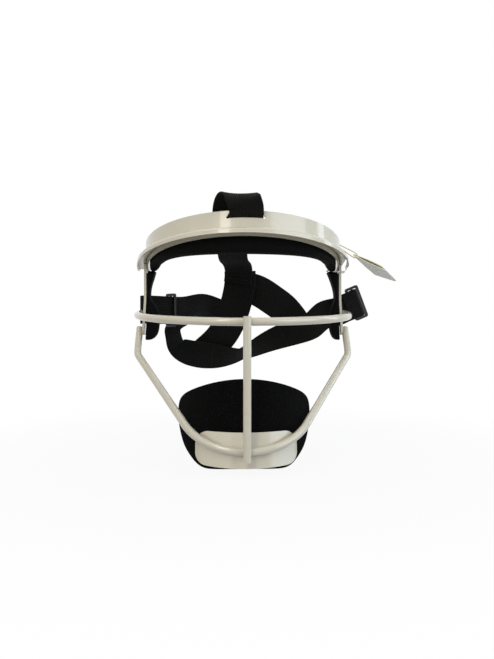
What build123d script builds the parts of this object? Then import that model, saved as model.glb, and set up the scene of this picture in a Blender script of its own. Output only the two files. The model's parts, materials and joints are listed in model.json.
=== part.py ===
from build123d import *
from math import atan, cos, pi, radians, sin, tan
import os

# A fielder's face guard: an enamelled steel frame, stick-on pads, an elastic harness and a swing tag.
# X is to the right as seen from the front, the face looks along -Y, Z is up as worn.
# The origin lies midway between the two temple strips, level with the middle of their strap slots.
os.makedirs("parts", exist_ok=True)

# Running gaps and cutters
seam_gap = 0.05
cloth_gap = 0.3
overrun = 2.0

# The webbing that slots and sliders fit, and their play round it
webbing_width = 25.4
webbing_thickness = 1.6
top_slot_play = 2.0
side_slot_play = 3.1
buckle_play = 1.2

# Brow band: a pressed arch with a wall, a shoulder and a turned-down lip
band_radius = 85.5
band_centre_y = 12.0
band_top = 53.9
band_tilt = 12.2
band_sheet = 1.2
band_wall = 13.8
band_flare = 7.0
shoulder_radius = 1.8
band_lip = 2.8
band_tail = 8.0
band_corner = 7.0
band_height = band_wall + 2 * shoulder_radius + band_lip

# Slot in the band for the top strap
top_slot_width = webbing_width + top_slot_play
top_slot_height = 3.2
top_slot_drop = 4.2
top_slot_ear = 1.1

# Inner hoop: a flat strip spot-welded inside the band
hoop_sheet = 1.5
hoop_drop = 7.2
hoop_height = 12.2
hoop_tail = 10.0
hoop_radius = band_radius - band_sheet - seam_gap

# Temple strips: flat uprights welded outside the hoop, with a strap slot near the rear edge
strip_sheet = 2.0
strip_width = 23.0
strip_front = 1.0
strip_bend = 8.0
strip_bottom = -22.6
strip_splay = 3.5
strip_corner = 6.0
slot_length = webbing_width + side_slot_play
slot_width = 4.0
slot_centre_y = 17.5
strip_face = hoop_radius + strip_sheet + seam_gap

# Wires and bar
wire_diameter = 6.0
cheek_centre_y = -1.5
cheek_rise = 4.9
cheek_level = -4.5
cheek_tail = 13.0
jaw_end_y = 11.0
jaw_end_z = -16.4
jaw_bend_y = -4.0
jaw_bend_z = -38.9
jaw_lead = 0.53
jaw_front_z = -106.0
jaw_bend_radius = 14.0
jaw_chin_radius = 52.4
bar_diameter = 5.8
bar_top = -8.4
bar_bottom = -112.2

# Chin plate and what lies on its inner face
chin_radius = 63.0
chin_lean = 12.0
chin_level = -106.0
plate_sheet = 1.5
plate_half_width = 37.9
plate_rise = 16.3
plate_dip = 3.0
plate_side_fall = 8.2
plate_fall = 12.6
plate_top_corner = 9.0
plate_bottom_corner = 10.0
chin_hook_width = 50.0
chin_hook_height = 16.0
chin_hook_corner = 2.5
hook_sheet = 1.1
loop_sheet = 1.3
chin_foam = 8.5
chin_pad_wrap = 57.7
chin_pad_shoulder = 22.0
chin_pad_corner_rise = 43.5
chin_pad_rise = 50.6
chin_pad_taper = 18.0
chin_pad_fall = 12.4
chin_pad_corner = 15.0
chin_pad_side_bend = 25.0
chin_pad_foot_bend = 12.0
chin_foam_round = 2.4

# Brow pad
brow_pad_drop = 6.6
brow_pad_depth = 30.1
brow_pad_end_depth = 20.6
brow_pad_thickness = 10.5
brow_pad_crown = 2.2
brow_pad_half_angle = 86.0
brow_pad_end_turn = 4.0
brow_pad_stations = 24
brow_end_share = 0.85
brow_hook_height = 8.0
brow_hook_half_angle = 66.0

# Side pads
side_pad_width = 13.5
side_pad_front = 0.4
side_pad_top = 33.2
side_pad_bottom = -27.0
side_pad_thickness = 11.5
side_hook_length = 22.0
side_hook_width = 10.0
side_hook_corner = 2.0
side_pad_shares = [(1.0, 0.74), (0.90, 0.61), (0.80, 0.46), (0.66, 0.22), (0.58, 0.26), (0.50, 0.60),
                   (0.36, 0.88), (0.20, 0.92), (0.08, 0.80), (0.02, 0.52), (0.0, 0.3)]

# Straps and buckles
arm_width = 30.0
strap_steps = 2
buckle_rim = 2.2
buckle_length = 13.0
buckle_thickness = 2.4
buckle_window = 3.4
buckle_bar = 2.2
buckle_window_height = webbing_width + buckle_play
buckle_height = buckle_window_height + 2 * buckle_rim
buckle_corner = 2.0
buckle_reach = 21.8
buckle_rise_angle = 22.1
buckle_yaw_angle = 13.0
fold_reach = 8.6
strap_sag = 1.5
slot_mouth_reach = 3.5
slider_reach = 24.5
slider_angle = 42.4
slider_straight = 7.0
outer_layer_reach = 5.6
adjuster_bend = 2.2

# Harness: the sizes that its tables of shares follow, with its half span at the strips
harness_reach = 75.0
harness_drop = 46.0

# Swing tag
tag_card = 0.5
tag_length = 46.0
tag_width = 38.0
tag_corner = 2.0
tag_tilt = 31.0
tag_open = 5.0
tag_start = 14.5
tag_hole = 1.6
tag_edge = 4.0
tag_pivot_y = 7.0
tag_pivot_rise = 2.6
string_diameter = 0.9
string_sides = 6
arc_share = 0.45

# The band's own frame: its top edge lies in this plane, its axis leans back
band_place = Vector(0, band_centre_y, band_top)
band_normal = Vector(0, sin(radians(band_tilt)), cos(radians(band_tilt)))
band_back = Vector(0, cos(radians(band_tilt)), -sin(radians(band_tilt)))
band_section = Plane(origin=band_place, x_dir=(1, 0, 0), z_dir=-band_back)
band_side = Plane(origin=band_place, x_dir=band_back, z_dir=(1, 0, 0))
band_axis = Axis(band_place, -band_normal)

# Brow band
with BuildPart() as brow_band:
    with BuildSketch(band_section) as band_profile:
        with BuildLine():
            wall_line = Line((band_radius, 0), (band_radius, -band_wall))
            upper_arc = JernArc(wall_line @ 1, wall_line % 1, shoulder_radius, 90)
            ledge_end = (band_radius + band_flare - shoulder_radius, -band_wall - shoulder_radius)
            ledge = Line(upper_arc @ 1, ledge_end)
            lower_arc = JernArc(ledge @ 1, ledge % 1, shoulder_radius, -90)
            Line(lower_arc @ 1, (band_radius + band_flare, -band_height))
            offset(amount=band_sheet, side=Side.RIGHT)
        make_face()
    revolve(band_profile.sketch, axis=band_axis, revolution_arc=180)
    band_end = extrude(band_profile.sketch, amount=-band_tail)
    mirror(band_end, about=Plane.YZ)
    with BuildSketch(band_side):
        with Locations((band_tail - band_corner / 2, -band_height + band_corner / 2)):
            Rectangle(band_corner, band_corner)
        with Locations((band_tail - band_corner, -band_height + band_corner)):
            Circle(band_corner, mode=Mode.SUBTRACT)
    extrude(amount=band_radius + band_flare + overrun, both=True, mode=Mode.SUBTRACT)
    with BuildSketch(band_section.offset(band_radius - band_sheet - overrun)):
        with Locations((0, -top_slot_drop)):
            Rectangle(top_slot_width, top_slot_height)
        with GridLocations(top_slot_width, 0, 2, 1):
            with Locations((0, -top_slot_drop - top_slot_height / 2 + top_slot_ear / 2)):
                Circle(top_slot_ear)
    extrude(amount=band_sheet + 2 * overrun, mode=Mode.SUBTRACT)
brow_band.part.label = "brow_band"
export_step(brow_band.part, "parts/brow_band.step")

# Inner hoop
with BuildPart() as inner_hoop:
    with BuildSketch(band_section) as hoop_profile:
        with Locations((hoop_radius - hoop_sheet / 2, -hoop_drop - hoop_height / 2)):
            Rectangle(hoop_sheet, hoop_height)
    revolve(hoop_profile.sketch, axis=band_axis, revolution_arc=180)
    hoop_end = extrude(hoop_profile.sketch, amount=-hoop_tail)
    mirror(hoop_end, about=Plane.YZ)
inner_hoop.part.label = "inner_hoop"
export_step(inner_hoop.part, "parts/inner_hoop.step")


def strip_x(level):
    """The outer face of a temple strip at one level: upright beside the hoop, splayed below."""
    return strip_face + max(0, strip_bend - level) * tan(radians(strip_splay))


# Temple strips, the right one first and its mirror image on the left
with BuildPart() as right_side_strip:
    with BuildSketch(Plane.XZ.offset(-strip_front)):
        with BuildLine():
            Polyline((strip_face, band_top), (strip_face, strip_bend),
                     (strip_x(strip_bottom), strip_bottom))
            offset(amount=strip_sheet, side=Side.RIGHT)
        make_face()
    extrude(amount=-strip_width)
    with BuildSketch(Plane.YZ):
        with Locations((slot_centre_y, 0)):
            SlotOverall(slot_length, slot_width, rotation=90)
    extrude(amount=band_radius + band_flare, mode=Mode.SUBTRACT)
    strip_foot = right_side_strip.faces().sort_by(Axis.Z)[0]
    fillet(strip_foot.edges().sort_by(SortBy.LENGTH)[:2], strip_corner)
    ledge_drop = band_wall + shoulder_radius + band_sheet + seam_gap
    split(bisect_by=Plane(origin=band_place - band_normal * ledge_drop, z_dir=band_normal), keep=Keep.BOTTOM)
right_side_strip.part.label = "right_side_strip"
export_step(right_side_strip.part, "parts/right_side_strip.step")

with BuildPart() as left_side_strip:
    mirror(right_side_strip.part, about=Plane.YZ)
left_side_strip.part.label = "left_side_strip"
export_step(left_side_strip.part, "parts/left_side_strip.step")

# Cheek wire: a half hoop, a little lower in front, welded to the outer faces of the strips
wire_radius = wire_diameter / 2
cheek_radius = strip_x(cheek_level - wire_radius) + wire_radius + seam_gap
cheek_place = Vector(0, cheek_centre_y, cheek_level)
cheek_back = Vector(0, cos(radians(cheek_rise)), sin(radians(cheek_rise)))
cheek_normal = Vector(0, -sin(radians(cheek_rise)), cos(radians(cheek_rise)))
with BuildPart() as cheek_wire:
    with BuildSketch(Plane(origin=cheek_place, x_dir=(1, 0, 0), z_dir=-cheek_back)) as cheek_profile:
        with Locations((cheek_radius, 0)):
            Circle(wire_radius)
    revolve(cheek_profile.sketch, axis=Axis(cheek_place, -cheek_normal), revolution_arc=180)
    cheek_end = extrude(cheek_profile.sketch, amount=-cheek_tail)
    mirror(cheek_end, about=Plane.YZ)
cheek_wire.part.label = "cheek_wire"
export_step(cheek_wire.part, "parts/cheek_wire.step")

# Jaw wire: a rod that leaves each strip, bends inwards and runs round below the chin, just ahead of the cheek wire
cheek_front_y = cheek_centre_y - cheek_radius * cos(radians(cheek_rise))
jaw_front_y = cheek_front_y - jaw_lead
jaw_x = strip_x(strip_bottom) + wire_radius + seam_gap
jaw_fall = (jaw_bend_z - jaw_front_z) / (jaw_bend_y - jaw_front_y)
jaw_bend_place = Vector(jaw_x, jaw_bend_y, jaw_bend_z)
jaw_slope_length = ((jaw_bend_y - jaw_front_y) ** 2 + (jaw_bend_z - jaw_front_z) ** 2) ** 0.5


def jaw_apex(reach=jaw_slope_length, half=jaw_x, bend=jaw_chin_radius):
    """How far past the bends the two straight runs would meet, for the wire's front to lie at reach."""
    low, high = reach, reach + 4 * half
    for _ in range(60):
        middle = (low + high) / 2
        half_angle = atan(half / middle)
        front = middle - bend / sin(half_angle) + bend
        low, high = (middle, high) if front < reach else (low, middle)
    return low


apex_share = jaw_apex() / jaw_slope_length
with BuildPart() as jaw_wire:
    with BuildLine() as jaw_path:
        FilletPolyline(
            (jaw_x, jaw_end_y, jaw_end_z),
            (jaw_x, jaw_bend_y, jaw_bend_z),
            (0, jaw_bend_y + (jaw_front_y - jaw_bend_y) * apex_share,
             jaw_bend_z + (jaw_front_z - jaw_bend_z) * apex_share),
            (-jaw_x, jaw_bend_y, jaw_bend_z),
            (-jaw_x, jaw_end_y, jaw_end_z),
            radius=[jaw_bend_radius, jaw_chin_radius, jaw_bend_radius],
        )
    with BuildSketch(Plane(origin=jaw_path.line @ 0, z_dir=jaw_path.line % 0)):
        Circle(wire_radius)
    sweep()
jaw_wire.part.label = "jaw_wire"
export_step(jaw_wire.part, "parts/jaw_wire.step")
print("jaw wire section times length", round(pi * wire_radius ** 2 * jaw_path.wires()[0].length),
      "volume", round(jaw_wire.part.volume))

# Centre bar: a straight rod laid in front of both wires
bar_y = min(cheek_front_y, jaw_front_y) - wire_radius - bar_diameter / 2 - seam_gap
with BuildPart() as centre_bar:
    with BuildSketch(Plane(origin=(0, bar_y, bar_bottom))):
        Circle(bar_diameter / 2)
    extrude(amount=bar_top - bar_bottom)
centre_bar.part.label = "centre_bar"
export_step(centre_bar.part, "parts/centre_bar.step")

# The chin's own frame: a leaning cylinder whose front touches the back of the jaw wire
chin_front_y = jaw_front_y + wire_radius + 2 * seam_gap
chin_back = Vector(0, cos(radians(chin_lean)), -sin(radians(chin_lean)))
chin_up = Vector(0, sin(radians(chin_lean)), cos(radians(chin_lean)))
chin_place = Vector(0, chin_front_y, chin_level) + chin_back * chin_radius
chin_floor = Plane(origin=chin_place, x_dir=(1, 0, 0), z_dir=chin_up)
chin_face = Plane(origin=chin_place, x_dir=(1, 0, 0), z_dir=-chin_back)
chin_depth = chin_radius + overrun
chin_rise = chin_pad_rise + chin_pad_fall + 2 * overrun
chin_wrap = radians(chin_pad_wrap)
chin_pad_half_width = (chin_radius - plate_sheet) * sin(chin_wrap)
chin_pad_foot = chin_pad_half_width - chin_pad_taper


def chin_ring(outer, sheet):
    """The plan of a sheet of one thickness on the chin's cylinder, as far round as the chin pad goes."""
    side_y = -outer * cos(chin_wrap)
    with BuildSketch(chin_floor.offset(-chin_pad_fall - overrun)) as ring:
        Circle(outer)
        Circle(outer - sheet, mode=Mode.SUBTRACT)
        with BuildLine():
            Polyline((0, 0), (outer * sin(chin_wrap), side_y), (outer * sin(chin_wrap), -2 * outer),
                     (-outer * sin(chin_wrap), -2 * outer), (-outer * sin(chin_wrap), side_y), (0, 0))
        make_face(mode=Mode.INTERSECT)
    return ring.sketch


def chin_pad_outline():
    """The chin pad seen from the front: broad shoulders over a narrower foot."""
    with BuildSketch(chin_face) as outline:
        with BuildLine():
            ThreePointArc((-chin_pad_half_width, chin_pad_corner_rise), (0, chin_pad_rise),
                          (chin_pad_half_width, chin_pad_corner_rise))
            Polyline((chin_pad_half_width, chin_pad_corner_rise), (chin_pad_half_width, chin_pad_shoulder),
                     (chin_pad_foot, -chin_pad_fall), (-chin_pad_foot, -chin_pad_fall),
                     (-chin_pad_half_width, chin_pad_shoulder), (-chin_pad_half_width, chin_pad_corner_rise))
        make_face()
        fillet(outline.vertices().group_by(Axis.Y)[-1], chin_pad_corner)
        fillet(outline.vertices().group_by(Axis.Y)[1], chin_pad_side_bend)
        fillet(outline.vertices().group_by(Axis.Y)[0], chin_pad_foot_bend)
    return outline.sketch


# Chin plate
with BuildPart() as chin_plate:
    extrude(chin_ring(chin_radius, plate_sheet), amount=chin_rise)
    with BuildSketch(chin_face) as plate_outline:
        with BuildLine():
            ThreePointArc((-plate_half_width, plate_rise), (0, plate_rise - plate_dip),
                          (plate_half_width, plate_rise))
            Line((plate_half_width, plate_rise), (plate_half_width, -plate_side_fall))
            ThreePointArc((plate_half_width, -plate_side_fall), (0, -plate_fall),
                          (-plate_half_width, -plate_side_fall))
            Line((-plate_half_width, -plate_side_fall), (-plate_half_width, plate_rise))
        make_face()
        fillet(plate_outline.vertices().group_by(Axis.Y)[-1], plate_top_corner)
        fillet(plate_outline.vertices().group_by(Axis.Y)[0], plate_bottom_corner)
    extrude(amount=chin_depth, mode=Mode.INTERSECT)
chin_plate.part.label = "chin_plate"
export_step(chin_plate.part, "parts/chin_plate.step")

# Hook patch glued inside the chin plate
hook_radius = chin_radius - plate_sheet - seam_gap
with BuildPart() as chin_hook_patch:
    extrude(chin_ring(hook_radius, hook_sheet), amount=chin_rise)
    with BuildSketch(chin_face):
        RectangleRounded(chin_hook_width, chin_hook_height, chin_hook_corner)
    extrude(amount=chin_depth, mode=Mode.INTERSECT)
chin_hook_patch.part.label = "chin_hook_patch"
export_step(chin_hook_patch.part, "parts/chin_hook_patch.step")

# Chin pad: a loop-fabric skin that grips the hook patch, and the foam body behind it
skin_radius = hook_radius - hook_sheet - seam_gap
with BuildPart() as chin_pad_skin:
    extrude(chin_ring(skin_radius, loop_sheet), amount=chin_rise)
    extrude(chin_pad_outline(), amount=chin_depth, mode=Mode.INTERSECT)
chin_pad_skin.part.label = "chin_pad_skin"
export_step(chin_pad_skin.part, "parts/chin_pad_skin.step")

foam_radius = skin_radius - loop_sheet - seam_gap
with BuildPart() as chin_pad_foam:
    extrude(chin_ring(foam_radius, chin_foam), amount=chin_rise)
    extrude(chin_pad_outline(), amount=chin_depth, mode=Mode.INTERSECT)
    foam_walls = chin_pad_foam.faces().filter_by(GeomType.CYLINDER).sort_by(SortBy.AREA)[-2:]
    chamfer(foam_walls.sort_by(SortBy.RADIUS)[0].edges(), chin_foam_round)
chin_pad_foam.part.label = "chin_pad_foam"
export_step(chin_pad_foam.part, "parts/chin_pad_foam.step")


def band_station(angle):
    """A section plane of the band's curve, turned from its front: X points outwards, Y up."""
    out = Vector(1, 0, 0) * sin(radians(angle)) - band_back * cos(radians(angle))
    along = Vector(1, 0, 0) * cos(radians(angle)) + band_back * sin(radians(angle))
    return Plane(origin=band_place, x_dir=out, z_dir=-along)


# Brow pad: a crowned cushion inside the hoop, deepest in front
hook_wall = hoop_radius - hoop_sheet - seam_gap
pad_wall = hook_wall - hook_sheet - 2 * seam_gap
with BuildPart() as brow_pad:
    pad_full_angle = brow_pad_half_angle - brow_pad_end_turn
    pad_turn = 2 * pad_full_angle / brow_pad_stations
    stations = [(-brow_pad_half_angle, brow_end_share)]
    stations += [(pad_turn * step - pad_full_angle, 1) for step in range(brow_pad_stations + 1)]
    stations += [(brow_pad_half_angle, brow_end_share)]
    for angle, end_share in stations:
        front_share = cos(radians(angle)) ** 2
        depth = brow_pad_end_depth + (brow_pad_depth - brow_pad_end_depth) * front_share
        thickness = brow_pad_thickness * end_share
        middle = -(brow_pad_drop + depth) / 2
        half = (depth - brow_pad_drop) / 2 * end_share
        with BuildSketch(band_station(angle)):
            with BuildLine():
                Line((pad_wall, middle - half), (pad_wall, middle + half))
                ThreePointArc((pad_wall, middle + half),
                              (pad_wall - thickness / 2, middle + half + brow_pad_crown / 2),
                              (pad_wall - thickness, middle + half - brow_pad_crown))
                ThreePointArc((pad_wall - thickness, middle + half - brow_pad_crown),
                              (pad_wall - thickness - brow_pad_crown, middle),
                              (pad_wall - thickness, middle - half + brow_pad_crown))
                ThreePointArc((pad_wall - thickness, middle - half + brow_pad_crown),
                              (pad_wall - thickness / 2, middle - half - brow_pad_crown / 2),
                              (pad_wall, middle - half))
            make_face()
    loft(ruled=True)
brow_pad.part.label = "brow_pad"
export_step(brow_pad.part, "parts/brow_pad.step")

# Hook strip glued inside the hoop, which the brow pad grips
with BuildPart() as brow_hook_strip:
    with BuildSketch(band_station(-brow_hook_half_angle)):
        with Locations((hook_wall - hook_sheet / 2, -hoop_drop - hoop_height / 2)):
            Rectangle(hook_sheet, brow_hook_height)
    revolve(axis=Axis(band_place, band_normal), revolution_arc=2 * brow_hook_half_angle)
brow_hook_strip.part.label = "brow_hook_strip"
export_step(brow_hook_strip.part, "parts/brow_hook_strip.step")

# Side pads and the hook patches that hold them to the upright part of the strips, right then left
patch_middle = (strip_face - strip_sheet - seam_gap, side_pad_front + side_pad_width / 2,
                (strip_bend + side_pad_top) / 2)
with BuildPart() as right_hook_patch:
    with BuildSketch(Plane(origin=patch_middle, x_dir=(0, 1, 0), z_dir=(-1, 0, 0))):
        RectangleRounded(side_hook_width, side_hook_length, side_hook_corner)
    extrude(amount=hook_sheet)
right_hook_patch.part.label = "right_hook_patch"
export_step(right_hook_patch.part, "parts/right_hook_patch.step")

with BuildPart() as left_hook_patch:
    mirror(right_hook_patch.part, about=Plane.YZ)
left_hook_patch.part.label = "left_hook_patch"
export_step(left_hook_patch.part, "parts/left_hook_patch.step")

pad_seat = (strip_sheet + hook_sheet + 2 * seam_gap) / cos(radians(strip_splay))
pad_span = side_pad_top - side_pad_bottom
pad_bend_share = (strip_bend - side_pad_bottom) / pad_span


def side_pad_point(rise_share, thickness_share):
    """A point of the side pad's inner outline: a share up its length, a share of its thickness in."""
    level = side_pad_bottom + pad_span * rise_share
    return strip_x(level) - pad_seat - side_pad_thickness * thickness_share, level


with BuildPart() as right_side_pad:
    with BuildSketch(Plane.XZ.offset(-side_pad_front)):
        with BuildLine():
            inner_line = Spline(*[side_pad_point(*place) for place in side_pad_shares],
                                tangents=[(side_pad_thickness, -pad_span), (pad_span, 0)])
            Line(side_pad_point(1, 0), inner_line @ 0)
            Line(inner_line @ 1, side_pad_point(0, 0))
            Polyline(side_pad_point(0, 0), side_pad_point(pad_bend_share, 0), side_pad_point(1, 0))
        make_face()
    extrude(amount=-side_pad_width)
right_side_pad.part.label = "right_side_pad"
export_step(right_side_pad.part, "parts/right_side_pad.step")

with BuildPart() as left_side_pad:
    mirror(right_side_pad.part, about=Plane.YZ)
left_side_pad.part.label = "left_side_pad"
export_step(left_side_pad.part, "parts/left_side_pad.step")

# Harness: its half span is the outer face of a strip
harness_span = strip_x(0)


def strap_sections(places, ways, ends=None, width=webbing_width):
    """Sections across a strap through a list of places, its width turned to face the way given at each."""
    with BuildLine() as run:
        Spline(*places, tangents=ends)
    path = run.edges()[0]
    marks = [path.param_at_point(place) for place in places]
    sections = []
    for start, end, way, next_way in zip(marks, marks[1:], ways, ways[1:]):
        for step in range(strap_steps):
            blend = step / strap_steps
            turned = Vector(*way) * (1 - blend) + Vector(*next_way) * blend
            sections.append(strap_section(path, start + (end - start) * blend, turned, width))
    sections.append(strap_section(path, 1, Vector(*ways[-1]), width))
    print("strap length", round(path.length), "volume", round(path.length * width * webbing_thickness))
    return sections


def strap_section(path, share, way, width):
    """One section square to a strap's path, its width turned to face a way."""
    tangent = path % share
    across = way - tangent * way.dot(tangent)
    with BuildSketch(Plane(origin=path @ share, x_dir=across.normalized(), z_dir=tangent)) as section:
        Rectangle(width, webbing_thickness)
    return section.sketch


def harness_places(shares):
    """Places in the harness from their shares of its half span, reach and drop."""
    return [Vector(span_share * harness_span, reach_share * harness_reach, drop_share * harness_drop)
            for span_share, reach_share, drop_share in shares]


# Top strap: from the seam at the back, over the head, out through the band's slot and back over itself
slot_out = Vector(0, -cos(radians(band_tilt)), sin(radians(band_tilt)))
slot_middle = band_place + slot_out * (band_radius - band_sheet / 2) - band_normal * top_slot_drop
top_strap_shares = [(-0.048, 0.700, 0.580), (-0.035, 0.660, 0.760), (-0.045, 0.540, 0.900),
                    (-0.092, 0.267, 0.972), (-0.108, 0.053, 1.059), (-0.092, -0.400, 1.276)]
top_slot_shares = [-8, -4, 0, 1.2]
top_fold_shares = [(-0.020, -1.040, 1.690), (-0.036, -1.020, 1.765), (-0.058, -0.960, 1.820),
                   (-0.102, -0.867, 1.812), (-0.140, -0.747, 1.690), (-0.146, -0.640, 1.575),
                   (-0.135, -0.480, 1.440)]
with BuildPart() as top_strap:
    slot_places = [slot_middle + slot_out * share * webbing_thickness for share in top_slot_shares]
    slot_places += [slot_places[-1] + (slot_out + band_normal * 2) * webbing_thickness]
    places = harness_places(top_strap_shares) + slot_places + harness_places(top_fold_shares)
    loft(strap_sections(places, [(1, 0, 0)] * len(places)), ruled=True)
top_strap.part.label = "top_strap"
export_step(top_strap.part, "parts/top_strap.step")

# Left arm: from the seam down to the nape strap
left_arm_shares = [(-0.018, 0.715, 0.830), (-0.018, 0.735, 0.600), (-0.042, 0.755, 0.320),
                   (-0.104, 0.790, -0.090), (-0.212, 0.880, -0.490), (-0.325, 1.010, -0.725),
                   (-0.430, 1.010, -0.900)]
left_arm_ways = [(1, 0, 0), (1, 0, 0), (1, 0, -0.1), (0.95, 0, -0.25), (0.85, 0, -0.4), (0.65, 0, -0.7),
                 (0.55, 0, -0.8)]
with BuildPart() as left_arm_strap:
    loft(strap_sections(harness_places(left_arm_shares), left_arm_ways, width=arm_width), ruled=True)
left_arm_strap.part.label = "left_arm_strap"
export_step(left_arm_strap.part, "parts/left_arm_strap.step")

# Right arm: a branch from the seam to the nape strap on the other side
right_arm_shares = [(-0.035, 0.802, 0.510), (0.143, 0.797, 0.461), (0.342, 0.803, 0.248),
                    (0.480, 0.850, 0.059), (0.610, 0.890, -0.240)]
right_arm_ways = [(0, 0, 1), (0.1, 0, 1), (0.24, 0, 0.96), (0.45, 0, 0.89), (0.75, 0, 0.6)]
with BuildPart() as right_arm_strap:
    loft(strap_sections(harness_places(right_arm_shares), right_arm_ways, width=arm_width), ruled=True)
right_arm_strap.part.label = "right_arm_strap"
export_step(right_arm_strap.part, "parts/right_arm_strap.step")

# Left slider: its place on the adjuster strap, and the two ways across it
slider_turn = radians(slider_angle)
slider_run = Vector(cos(slider_turn), sin(slider_turn), 0)
slider_back = Vector(-sin(slider_turn), cos(slider_turn), 0)
slider_layer = (buckle_bar + buckle_window) / 2
left_slot = Vector(-strip_x(0) + strip_sheet / 2, slot_centre_y, 0)
slot_mouth = left_slot + Vector(slot_mouth_reach, 0, 0)
slider_middle = slot_mouth + slider_run * slider_reach + slider_back * slider_layer


def slider_outline():
    """The flat frame of a slider, its bar left out: X along its bar, Y across it."""
    with BuildSketch() as frame:
        RectangleRounded(buckle_height, buckle_length, buckle_corner)
        Rectangle(buckle_window_height, buckle_bar + 2 * buckle_window, mode=Mode.SUBTRACT)
    return frame.sketch


with BuildPart() as left_slider:
    with BuildSketch(Plane(origin=slider_middle, x_dir=(0, 0, 1), z_dir=slider_run)):
        add(slider_outline())
    extrude(amount=buckle_thickness / 2, both=True)
    with BuildSketch(Plane(origin=slider_middle, z_dir=(0, 0, 1))):
        Circle(buckle_bar / 2)
    extrude(amount=(buckle_window_height + buckle_height) / 4, both=True)
left_slider.part.label = "left_slider"
export_step(left_slider.part, "parts/left_slider.step")

# Adjuster strap: sewn to the nape strap, through the slider, round the strip's rear bar and back
rear_bar_y = strip_front + strip_width + webbing_thickness
outer_layer_x = left_slot.X - outer_layer_reach
rear_layer = slider_middle + slider_back * slider_layer
front_layer = slider_middle - slider_back * slider_layer
rear_corner = rear_layer + slider_run * ((rear_bar_y - rear_layer.Y) / sin(slider_turn))
adjuster_end = rear_layer + slider_run * (slider_straight + webbing_width)
tail_start = front_layer + slider_run * slider_straight
tail_shares = [(0.272, 0.272, 0.036), (0.715, 0.744, 0.170), (1.150, 1.240, 0.110), (1.500, 1.700, 0.000)]
tail_ways = [(0, 0, 1), (0, 0, 1), (0.15, -0.2, 0.95), (0.3, -0.4, 0.85), (0.35, -0.45, 0.8)]
with BuildPart() as left_adjuster_strap:
    with BuildSketch(Plane.XY):
        with BuildLine() as adjuster_run:
            FilletPolyline(tuple(adjuster_end)[:2], tuple(rear_corner)[:2], (outer_layer_x, rear_bar_y),
                           (outer_layer_x, slot_centre_y), tuple(slot_mouth)[:2], tuple(tail_start)[:2],
                           radius=adjuster_bend)
        trace(line_width=webbing_thickness)
    extrude(amount=webbing_width / 2, both=True)
    tail_places = [tail_start] + [tail_start + Vector(*share) * webbing_width for share in tail_shares]
    loft(strap_sections(tail_places, tail_ways), ruled=True)
left_adjuster_strap.part.label = "left_adjuster_strap"
export_step(left_adjuster_strap.part, "parts/left_adjuster_strap.step")

# Right slider: it hangs outside the right strip, free to swing about its bar
buckle_rise = radians(buckle_rise_angle)
buckle_yaw = radians(buckle_yaw_angle)
buckle_run = Vector(cos(buckle_rise) * cos(buckle_yaw), cos(buckle_rise) * sin(buckle_yaw), sin(buckle_rise))
buckle_back = Vector(-sin(buckle_yaw), cos(buckle_yaw), 0)
buckle_way = buckle_run.cross(buckle_back)
fold_layer = buckle_thickness / 2 + cloth_gap
right_slot = Vector(strip_x(0) - strip_sheet / 2, slot_centre_y, -strap_sag)
fold_start = right_slot + buckle_run * fold_reach
buckle_middle = right_slot + buckle_run * buckle_reach + buckle_back * (fold_layer + webbing_thickness)
with BuildPart() as right_slider:
    with BuildSketch(Plane(origin=buckle_middle, x_dir=buckle_way, z_dir=buckle_back)):
        add(slider_outline())
    extrude(amount=buckle_thickness / 2, both=True)
    with BuildSketch(Plane(origin=buckle_middle, z_dir=buckle_way)):
        Circle(buckle_bar / 2)
    extrude(amount=(buckle_window_height + buckle_height) / 4, both=True)
right_slider.part.label = "right_slider"
export_step(right_slider.part, "parts/right_slider.step")

# Nape strap: from the left seam round behind the neck, out through the right slot and round the slider's bar
nape_top = (rear_layer + slider_run * (slider_straight + webbing_width / 2)
            + slider_back * (webbing_thickness + 3 * cloth_gap))
nape_fall_shares = [(0, 0, 0.420), (0, 0.020, -0.150), (-0.240, 0.250, -0.430), (-0.560, 0.350, -0.670),
                    (-0.510, 0.335, -0.985), (-0.375, 0.315, -1.280)]
nape_shares = [(-0.577, 0.860, -0.880), (-0.300, 0.970, -0.965), (0.000, 1.000, -0.920), (0.239, 0.960, -0.715),
               (0.546, 0.827, -0.460), (0.800, 0.580, -0.260)]
slot_way = Vector(buckle_way.X, 0, buckle_way.Z)
nape_ways = [slider_run, slider_run, (0.62, 0.75, -0.1), (0.5, 0.85, 0), (0.5, 0.85, 0.1), (0.45, 0.75, 0.4),
             (0.3, 0.3, 0.9), (0, -0.3, 0.95), (0, -0.88, 0.47), (-0.3, -0.65, 0.7), (-0.4, -0.2, 0.9),
             (-0.2, 0, 0.95), slot_way, slot_way, buckle_way]
with BuildPart() as nape_strap:
    nape_places = [nape_top + Vector(*share) * webbing_width for share in nape_fall_shares]
    nape_places += harness_places(nape_shares)
    nape_places += [right_slot - Vector(fold_reach, 0, 0), right_slot, fold_start]
    loft(strap_sections(nape_places, nape_ways, ends=[(0, 0, -1), buckle_run]), ruled=True)
nape_strap.part.label = "nape_strap"
export_step(nape_strap.part, "parts/nape_strap.step")

# Folded end of the nape strap round the right slider's bar
with BuildPart() as right_strap_end:
    with BuildSketch(Plane(origin=buckle_middle, x_dir=buckle_run, z_dir=buckle_way)):
        ring_outer = fold_layer + webbing_thickness
        with Locations(((fold_reach - buckle_reach) / 2, -ring_outer)):
            Rectangle(buckle_reach - fold_reach, 2 * webbing_thickness)
        Circle(ring_outer)
        Circle(fold_layer, mode=Mode.SUBTRACT)
    extrude(amount=webbing_width / 2, both=True)
right_strap_end.part.label = "right_strap_end"
export_step(right_strap_end.part, "parts/right_strap_end.step")

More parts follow.
